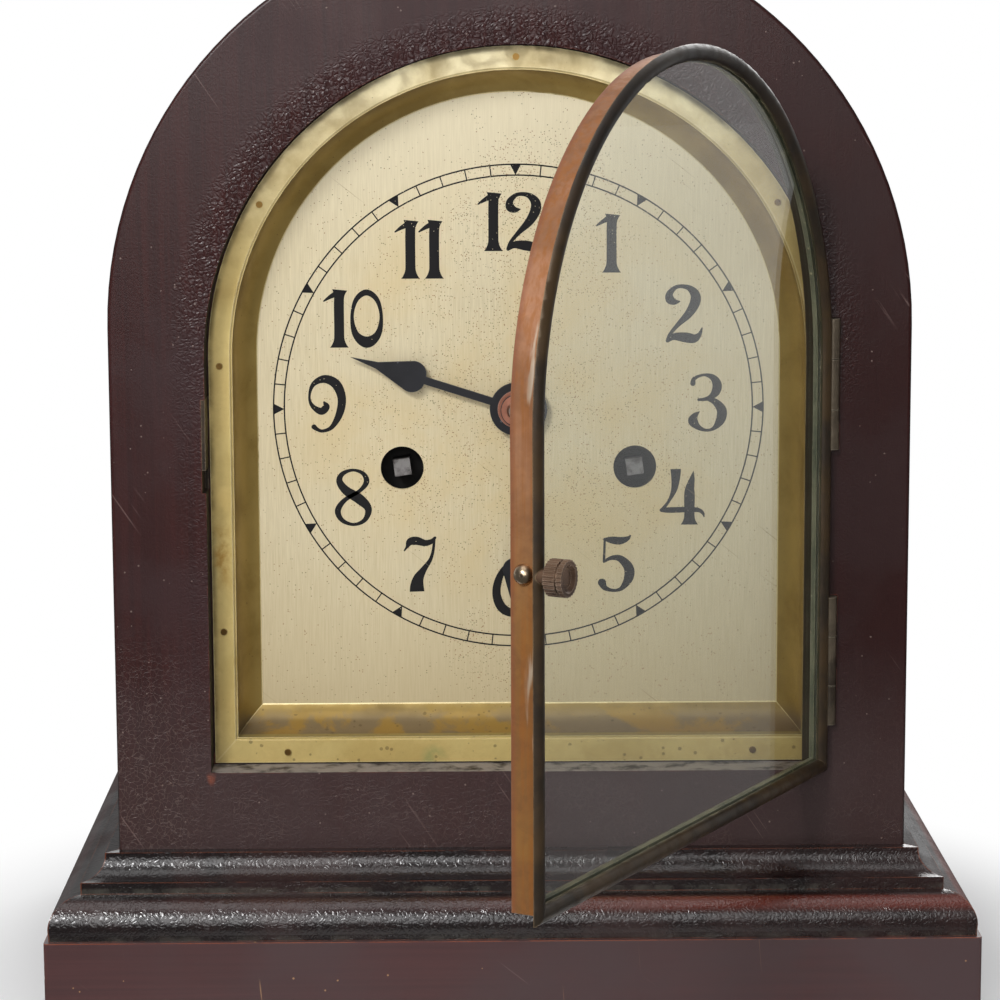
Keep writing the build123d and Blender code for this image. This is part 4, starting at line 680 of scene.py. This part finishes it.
blued = aged_metal("blued_steel", shade(44, 44, 48), shade(32, 32, 35), shade(110, 110, 114), 0.4, 0.55,
                   shade(70, 70, 76), metallic=0.5)
steel = aged_metal("worn_steel", shade(176, 172, 166), shade(132, 124, 116), shade(78, 62, 48), 0.22, 0.4,
                   shade(210, 206, 200))
movement_brass = aged_metal("movement_brass", shade(206, 170, 92), shade(168, 130, 62), shade(92, 66, 30),
                            0.22, 0.38, shade(236, 206, 130), cloud_scale=34.0)
nail_brass = aged_metal("nail_brass", shade(150, 116, 64), shade(96, 72, 40), shade(52, 38, 22), 0.32, 0.5,
                        shade(220, 190, 120))
bronze = aged_metal("dark_bronze", shade(74, 62, 50), shade(48, 40, 33), shade(28, 22, 18), 0.34, 0.52,
                    shade(150, 132, 108), metallic=0.6)
copper = aged_metal("copper_collet", shade(178, 120, 98), shade(132, 84, 66), shade(70, 46, 36), 0.3, 0.46,
                    shade(220, 180, 160), metallic=0.5)
knob_bronze = aged_metal("knob_bronze", shade(126, 98, 78), shade(84, 64, 52), shade(40, 30, 24), 0.22, 0.36,
                         shade(190, 170, 150), metallic=0.6)
hinge_bronze = aged_metal("hinge_bronze", shade(112, 100, 84), shade(60, 51, 42), shade(26, 20, 16), 0.3, 0.5,
                          shade(190, 178, 156), metallic=0.6)
# Glass retainer: pale green with whitish mottles, a painted reflection of the green glass edge seen through
# the glass.
retainer_reflection_paint = aged_metal("retainer_painted_glass_reflection", shade(116, 114, 90), shade(78, 82, 64), shade(190, 178, 138), 0.5, 0.7,
                   shade(180, 176, 150), metallic=0.1)
stud_brass = aged_metal("stud_brass", shade(196, 176, 150), shade(150, 122, 92), shade(90, 66, 48), 0.24, 0.4,
                        shade(226, 214, 196))
iron = aged_metal("black_iron", shade(44, 42, 40), shade(32, 30, 29), shade(84, 58, 40), 0.45, 0.62,
                  shade(96, 90, 84), metallic=0.4)
front_varnish = varnished_front()
front_moulding_varnish = varnished_moulding("front_moulding_varnish", 0.35, 0.2, 0.3, 1.5)
side_moulding_varnish = varnished_moulding("side_moulding_varnish", 0.0, 0.5, 0.6, 1.25)
plinth_varnish = varnished_plinth()
shell_varnish = varnished_shell()
back_stain = stained_back()
dial_silver = silvered_dial()
surround_finish = surround_brass()
door_finish = door_brass()
glass_finish = window_glass()
print_ink = printed_black()
winding_finish = winding_steel()
minute_finish = minute_hand_steel()

finishes = {
    "base_plinth": plinth_varnish,
    "base_moulding_front": front_moulding_varnish,
    "base_moulding_left": side_moulding_varnish,
    "base_moulding_right": side_moulding_varnish,
    "case_front": front_varnish,
    "case_shell": shell_varnish,
    "back_board": back_stain,
    "back_door": back_stain,
    "turn_button": back_stain,
    "dial_plate": dial_silver,
    "surround_arch": surround_finish,
    "surround_sill": surround_finish,
    "surround_pins": nail_brass,
    "door_frame": door_finish,
    "glass_retainer": retainer_reflection_paint,
    "door_glass": glass_finish,
    "catch_stud": stud_brass,
    "hour_collet": copper,
    "strike_plate": bronze,
    "door_knob": knob_bronze,
    "hinge_case_leaves": hinge_bronze,
    "hinge_door_leaves": hinge_bronze,
    "hinge_pins": hinge_bronze,
    "hour_hand": blued,
    "minute_hand": minute_finish,
    "gong": blued,
    "gong_stand": iron,
    "going_winding_arbor": winding_finish,
    "strike_winding_arbor": winding_finish,
}
steel_nodes = [
    "hand_nut", "pillar_nuts", "going_mainspring", "strike_mainspring", "going_click", "strike_click",
    "pallets", "suspension_spring", "pendulum_rod", "hammer",
]
for name, node in frame["nodes"].items():
    finish = finishes.get(name, steel if name in steel_nodes else movement_brass)
    node.data.materials.clear()
    node.data.materials.append(finish)


# Printed dial

def smooth_path(points, closed):
    """Points along a smooth line through the given ones, with the pen's half width between them too."""
    count = len(points)
    spans = count if closed else count - 1
    path = []
    for span in range(spans):
        if closed:
            around = [points[(span + step) % count] for step in (-1, 0, 1, 2)]
        else:
            around = [points[min(max(span + step, 0), count - 1)] for step in (-1, 0, 1, 2)]
        for step in range(stroke_steps):
            t = step / stroke_steps
            path.append(tuple(
                0.5 * (2 * b + (c - a) * t + (2 * a - 5 * b + 4 * c - d) * t**2
                       + (3 * b - a - 3 * c + d) * t**3)
                for a, b, c, d in zip(*around)
            ))
    if not closed:
        path.append(points[-1])
    return path


def round_end(mesh, left, right, outwards):
    """Half round that closes the end of a stroke."""
    middle = (left.co + right.co) / 2
    half = (right.co - left.co) / 2
    rim = [left]
    for step in range(1, stroke_steps):
        turn = math.pi * step / stroke_steps
        rim.append(mesh.verts.new(middle - half * math.cos(turn) + outwards * half.length * math.sin(turn)))
    mesh.faces.new(rim + [right])


def pen_stroke(mesh, points, shift, closed=False, start=True, end=True):
    """Flat stroke of varying width in the dial plane; points are (across, up, half width) in mm."""
    path = smooth_path(points, closed)
    pairs = []
    for index, (across, up, half) in enumerate(path):
        before = path[index - 1] if closed or index > 0 else path[0]
        after = path[(index + 1) % len(path)] if closed or index + 1 < len(path) else path[-1]
        along = Vector((after[0] - before[0], 0.0, after[1] - before[1])).normalized()
        side = Vector((-along.z, 0.0, along.x)) * half
        middle = Vector((across, 0.0, up)) + shift
        pairs.append((mesh.verts.new(middle + side), mesh.verts.new(middle - side), along))
    steps = zip(pairs, pairs[1:] + pairs[:1]) if closed else zip(pairs, pairs[1:])
    for (left, right, _), (next_left, next_right, _) in steps:
        mesh.faces.new((left, right, next_right, next_left))
    if start and not closed:
        round_end(mesh, pairs[0][1], pairs[0][0], -pairs[0][2])
    if end and not closed:
        round_end(mesh, pairs[-1][0], pairs[-1][1], pairs[-1][2])


def printed_piece(name, mesh):
    """Turns a flat mesh in mm about the dial centre into a print on the dial."""
    data = bpy.data.meshes.new(name)
    mesh.to_mesh(data)
    mesh.free()
    place = Matrix.Translation(dial - Vector((0.0, print_lift * mm, 0.0)))
    data.transform(place @ Matrix.Scale(mm, 4))
    piece = bpy.data.objects.new(name, data)
    bpy.context.scene.collection.objects.link(piece)
    data.materials.append(print_ink)
    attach(piece, "case")
    return piece


# Pen strokes of the numbers: half widths in mm, heights from the foot of the number
digits = {
    "0": [dict(closed=True, points=[
        (0.0, 14.5, 0.8), (-2.7, 12.6, 0.62), (-3.8, 8.2, 0.45), (-2.9, 3.6, 0.9), (0.0, 1.5, 1.5),
        (2.9, 3.6, 0.9), (3.8, 8.2, 0.45), (2.7, 12.6, 0.62)])],
    "1": [
        dict(start=False, end=False, points=[
            (0.0, 0.1, 2.45), (0.0, 0.9, 1.9), (0.0, 2.2, 1.4), (0.0, 4.0, 1.3), (0.0, 11.0, 1.3),
            (0.1, 13.6, 1.35), (0.25, 15.2, 1.95)]),
        dict(points=[(-0.9, 14.1, 0.75), (-2.4, 13.3, 0.5), (-3.9, 12.3, 0.2)]),
    ],
    "2": [
        dict(points=[
            (-1.2, 10.9, 0.2), (-2.5, 10.8, 0.8), (-3.7, 11.5, 1.15), (-3.7, 13.1, 0.85), (-1.9, 14.7, 0.5),
            (0.8, 14.6, 0.65), (2.7, 13.0, 1.2), (2.9, 10.8, 1.35), (1.3, 7.8, 1.1), (-1.6, 4.8, 0.6),
            (-3.6, 2.4, 0.45), (-4.3, 0.7, 0.45)]),
        dict(points=[
            (-4.3, 0.6, 0.45), (-2.6, 1.7, 0.9), (0.3, 1.5, 1.3), (2.6, 1.2, 1.15), (4.0, 2.2, 0.6),
            (4.7, 3.9, 0.2)]),
    ],
    "3": [
        dict(points=[
            (-3.8, 12.8, 0.7), (-3.4, 14.1, 0.5), (-1.0, 15.0, 0.35), (1.3, 14.4, 0.8), (2.5, 12.6, 1.2),
            (2.2, 10.6, 1.15), (0.9, 9.2, 0.7), (-0.8, 8.6, 0.45), (-2.3, 8.5, 0.35)]),
        dict(points=[
            (0.0, 8.8, 0.5), (2.2, 7.8, 0.9), (3.8, 5.6, 1.3), (3.4, 3.0, 1.2), (1.7, 0.9, 0.5),
            (-0.4, 0.45, 0.4), (-2.4, 1.3, 0.75), (-3.7, 2.9, 1.3), (-3.2, 4.3, 0.8), (-2.1, 5.3, 0.15)]),
    ],
    "4": [
        dict(start=False, points=[
            (-1.9, 15.0, 1.4), (-1.9, 12.5, 1.15), (-2.3, 9.5, 0.8), (-3.6, 6.6, 0.4), (-5.2, 4.4, 0.5)]),
        dict(points=[
            (-5.6, 4.1, 0.5), (-3.5, 4.1, 0.75), (2.0, 4.2, 0.7), (4.3, 4.0, 0.55), (5.3, 3.2, 0.4),
            (5.6, 2.3, 0.15)]),
        dict(end=False, points=[
            (2.75, 14.3, 0.1), (2.4, 12.3, 0.7), (1.85, 10.0, 1.15), (1.75, 8.0, 1.4), (1.75, 3.0, 1.35),
            (1.75, 1.4, 1.6), (1.75, 0.2, 2.3)]),
    ],
    "5": [
        dict(points=[
            (-2.9, 14.2, 0.4), (-1.0, 14.0, 0.95), (1.2, 13.8, 1.0), (3.1, 14.4, 0.6), (3.9, 15.2, 0.15)]),
        dict(points=[(-2.9, 14.3, 0.3), (-3.0, 11.0, 0.32), (-3.1, 8.3, 0.35)]),
        dict(points=[
            (-3.1, 8.2, 0.3), (-1.2, 9.2, 0.55), (1.2, 9.0, 0.9), (3.4, 6.6, 1.3), (3.4, 3.8, 1.25),
            (1.6, 1.1, 0.6), (-0.6, 0.5, 0.4), (-2.8, 1.2, 0.7), (-3.6, 2.6, 1.1)]),
    ],
    "7": [
        dict(points=[
            (-4.1, 11.3, 0.2), (-3.4, 12.3, 0.4), (-2.6, 13.6, 1.0), (-0.9, 13.9, 1.1), (1.3, 13.3, 0.85),
            (3.0, 13.7, 0.65), (4.0, 14.7, 0.35)]),
        dict(end=False, points=[
            (3.8, 14.6, 0.35), (3.5, 11.5, 0.38), (2.7, 8.8, 0.5), (1.0, 6.3, 0.8), (-0.4, 4.0, 1.35),
            (-0.85, 2.0, 1.75), (-0.85, 0.3, 1.95)]),
    ],
    "8": [dict(closed=True, points=[
        (0.0, 14.9, 0.38), (-2.7, 14.0, 0.6), (-3.6, 12.0, 0.85), (-1.9, 9.5, 1.15), (1.6, 7.2, 1.35),
        (3.9, 4.6, 0.95), (2.9, 1.6, 0.6), (0.0, 0.45, 0.42), (-3.0, 1.6, 0.6), (-4.1, 4.2, 0.8),
        (-2.2, 7.0, 0.6), (1.7, 9.4, 0.5), (3.5, 11.8, 0.75), (2.6, 14.0, 0.55)])],
    "9": [dict(points=[
        (-0.75, 8.05, 0.3), (-0.2, 6.9, 0.9), (-1.6, 5.7, 0.95), (-3.85, 7.15, 0.55), (-4.6, 9.6, 0.32),
        (-3.55, 12.8, 0.6), (-0.6, 14.2, 1.05), (2.4, 12.8, 1.25), (3.85, 9.2, 1.12), (3.25, 5.1, 0.98),
        (1.2, 1.55, 0.6), (-1.2, 0.5, 0.42), (-2.65, 0.95, 0.5), (-3.5, 1.6, 0.68)])],
}
turned_nine = [(-across, numeral_height - up, half) for across, up, half in digits["9"][0]["points"]]
digits["6"] = [dict(points=turned_nine)]
digit_spread = {"10": (-3.9, 3.3), "11": (-3.1, 3.1), "12": (-4.3, 3.8)}

# Nudges of the numbers off their circle, in mm across and up, as printed
number_nudges = {
    1: (-0.8, 0.3), 2: (0.1, -0.1), 3: (-0.3, 1.1), 4: (0.0, 0.9), 5: (0.4, 1.1), 6: (-1.5, 1.1),
    7: (-0.9, 1.2), 8: (-0.3, 1.1), 9: (-0.3, 1.3), 10: (0.4, -1.0), 11: (0.3, -1.1), 12: (-1.5, -0.6),
}


def numeral(hour):
    """Number of an hour, upright on its circle."""
    angle = math.radians(30 * hour)
    middle = Vector((math.sin(angle), 0.0, math.cos(angle))) * numeral_circle
    middle += Vector((number_nudges[hour][0], 0.0, number_nudges[hour][1] - numeral_height / 2))
    mesh = bmesh.new()
    text = str(hour)
    for digit, across in zip(text, digit_spread.get(text, (0.0,))):
        for stroke in digits[digit]:
            middle.y -= stroke_lift
            pen_stroke(mesh, shift=middle + Vector((across, 0.0, 0.0)), **stroke)
    printed_piece(f"numeral_{hour}", mesh)


def minute_ring():
    """Two printed circles with a tick for each minute and a pointed marker for each hour."""
    mesh = bmesh.new()
    centre = Vector()
    for radius in (ring_inner, ring_outer):
        round_points = [
            (radius * math.sin(math.radians(turn)), radius * math.cos(math.radians(turn)), ring_line / 2)
            for turn in range(0, 360, 15)
        ]
        pen_stroke(mesh, round_points, centre, closed=True)
    for minute in range(60):
        angle = math.radians(6 * minute)
        out = Vector((math.sin(angle), 0.0, math.cos(angle)))
        if minute % 5:
            ends = [(out.x * radius, out.z * radius, tick_line / 2) for radius in (ring_inner, ring_outer)]
            pen_stroke(mesh, ends, centre, start=False, end=False)
        else:
            side = Vector((out.z, 0.0, -out.x)) * marker_half
            corners = (out * ring_outer - side, out * ring_outer + side, out * ring_inner)
            mesh.faces.new([mesh.verts.new(corner) for corner in corners])
    printed_piece("minute_ring", mesh)


for hour in range(1, 13):
    numeral(hour)
minute_ring()


# Floor, light and camera

def straight_view(tree, path):
    """1 for rays straight from the camera or only through glass, where the background shows white."""
    seen = maths(tree, "MAXIMUM", path["Is Camera Ray"], path["Is Transmission Ray"])
    bounced = maths(tree, "ADD", path["Diffuse Depth"], path["Glossy Depth"])
    return times(tree, seen, maths(tree, "LESS_THAN", bounced, 0.5))


def studio_floor():
    """Pale floor that keeps the shadow close to the clock and fades to white further out."""
    data = bpy.data.meshes.new("studio_floor")
    corners = [(side * floor_half, end * floor_half, 0) for side, end in ((-1, -1), (1, -1), (1, 1), (-1, 1))]
    data.from_pydata(corners, [], [(0, 1, 2, 3)])
    floor = bpy.data.objects.new("studio_floor", data)
    floor.location.z = -floor_gap
    bpy.context.scene.collection.objects.link(floor)
    material, tree, sockets = new_finish("pale_floor", base_color=(0.9, 0.9, 0.9, 1.0), roughness=0.8)
    shader = sockets["Base Color"].node
    x, y, z = split_place(tree, rest_place(tree))
    reach = length(tree, x, y)
    path = add_node(tree, "LightPath").outputs
    straight = straight_view(tree, path)
    seen = maths(tree, "MAXIMUM", straight, path["Is Glossy Ray"])
    away = times(tree, fade(tree, reach, *shadow_reach), seen)
    glow = maths(tree, "MAXIMUM", straight, fade(tree, y, -0.3, 1.2, 0.12, 0.56))
    white = add_node(tree, "Emission", {"Color": (1.0, 1.0, 1.0, 1.0), "Strength": glow})
    both = add_node(tree, "MixShader", {0: away, 1: shader.outputs[0], 2: white.outputs[0]})
    output = next(node for node in tree.nodes if node.type == "OUTPUT_MATERIAL")
    tree.links.new(both.outputs[0], output.inputs["Surface"])
    data.materials.append(material)


def studio_world():
    """White behind the clock, soft grey light around it, and a dim room behind the camera for reflections."""
    world = bpy.data.worlds.new("studio")
    world.use_nodes = True
    tree = world.node_tree
    tree.nodes.clear()
    path = add_node(tree, "LightPath").outputs
    x, y, z = split_place(tree, add_node(tree, "TexCoord").outputs["Generated"])
    behind = fade(tree, y, 0.3, 0.95, 0.12, 1.0)
    overhead = fade(tree, z, 0.4, 0.9, 0.0, 0.2)
    glow = maths(tree, "MINIMUM", maths(tree, "ADD", behind, overhead), 1.0)
    room = add_node(tree, "Background", {"Color": (1.0, 1.0, 1.0, 1.0), "Strength": glow})
    soft = add_node(tree, "Background", {"Color": (0.97, 0.985, 1.0, 1.0), "Strength": 0.3})
    white = add_node(tree, "Background", {"Color": (1.0, 1.0, 1.0, 1.0), "Strength": 1.0})
    lit = add_node(tree, "MixShader", {0: path["Is Glossy Ray"], 1: soft.outputs[0], 2: room.outputs[0]})
    both = add_node(tree, "MixShader", {0: straight_view(tree, path), 1: lit.outputs[0], 2: white.outputs[0]})
    add_node(tree, "OutputWorld", {"Surface": both.outputs[0]})
    bpy.context.scene.world = world


def soft_light(name, place, target, size, power):
    """Square soft light aimed at a place."""
    lamp = bpy.data.lights.new(name, "AREA")
    lamp.shape = "SQUARE"
    lamp.size = size
    lamp.energy = power
    light = bpy.data.objects.new(name, lamp)
    light.location = place
    light.rotation_euler = (Vector(target) - Vector(place)).to_track_quat("-Z", "Y").to_euler()
    bpy.context.scene.collection.objects.link(light)


def photo_camera():
    """Camera where the photograph was taken from."""
    data = bpy.data.cameras.new("photo_camera")
    data.lens = camera_lens
    data.sensor_width = camera_sensor
    camera = bpy.data.objects.new("photo_camera", data)
    camera.location = Vector(camera_place) * mm
    turn = Euler((math.radians(90 - camera_pitch), 0.0, math.radians(-camera_yaw)), "XYZ").to_matrix()
    tilt = Matrix.Rotation(math.radians(camera_roll), 3, "Z")
    camera.rotation_euler = (turn @ tilt).to_euler()
    bpy.context.scene.collection.objects.link(camera)
    bpy.context.scene.camera = camera


studio_floor()
studio_world()
for name, (place, target, size, power) in soft_lights.items():
    soft_light(name, place, target, size, power)
photo_camera()
bpy.context.scene.view_settings.view_transform = "Standard"
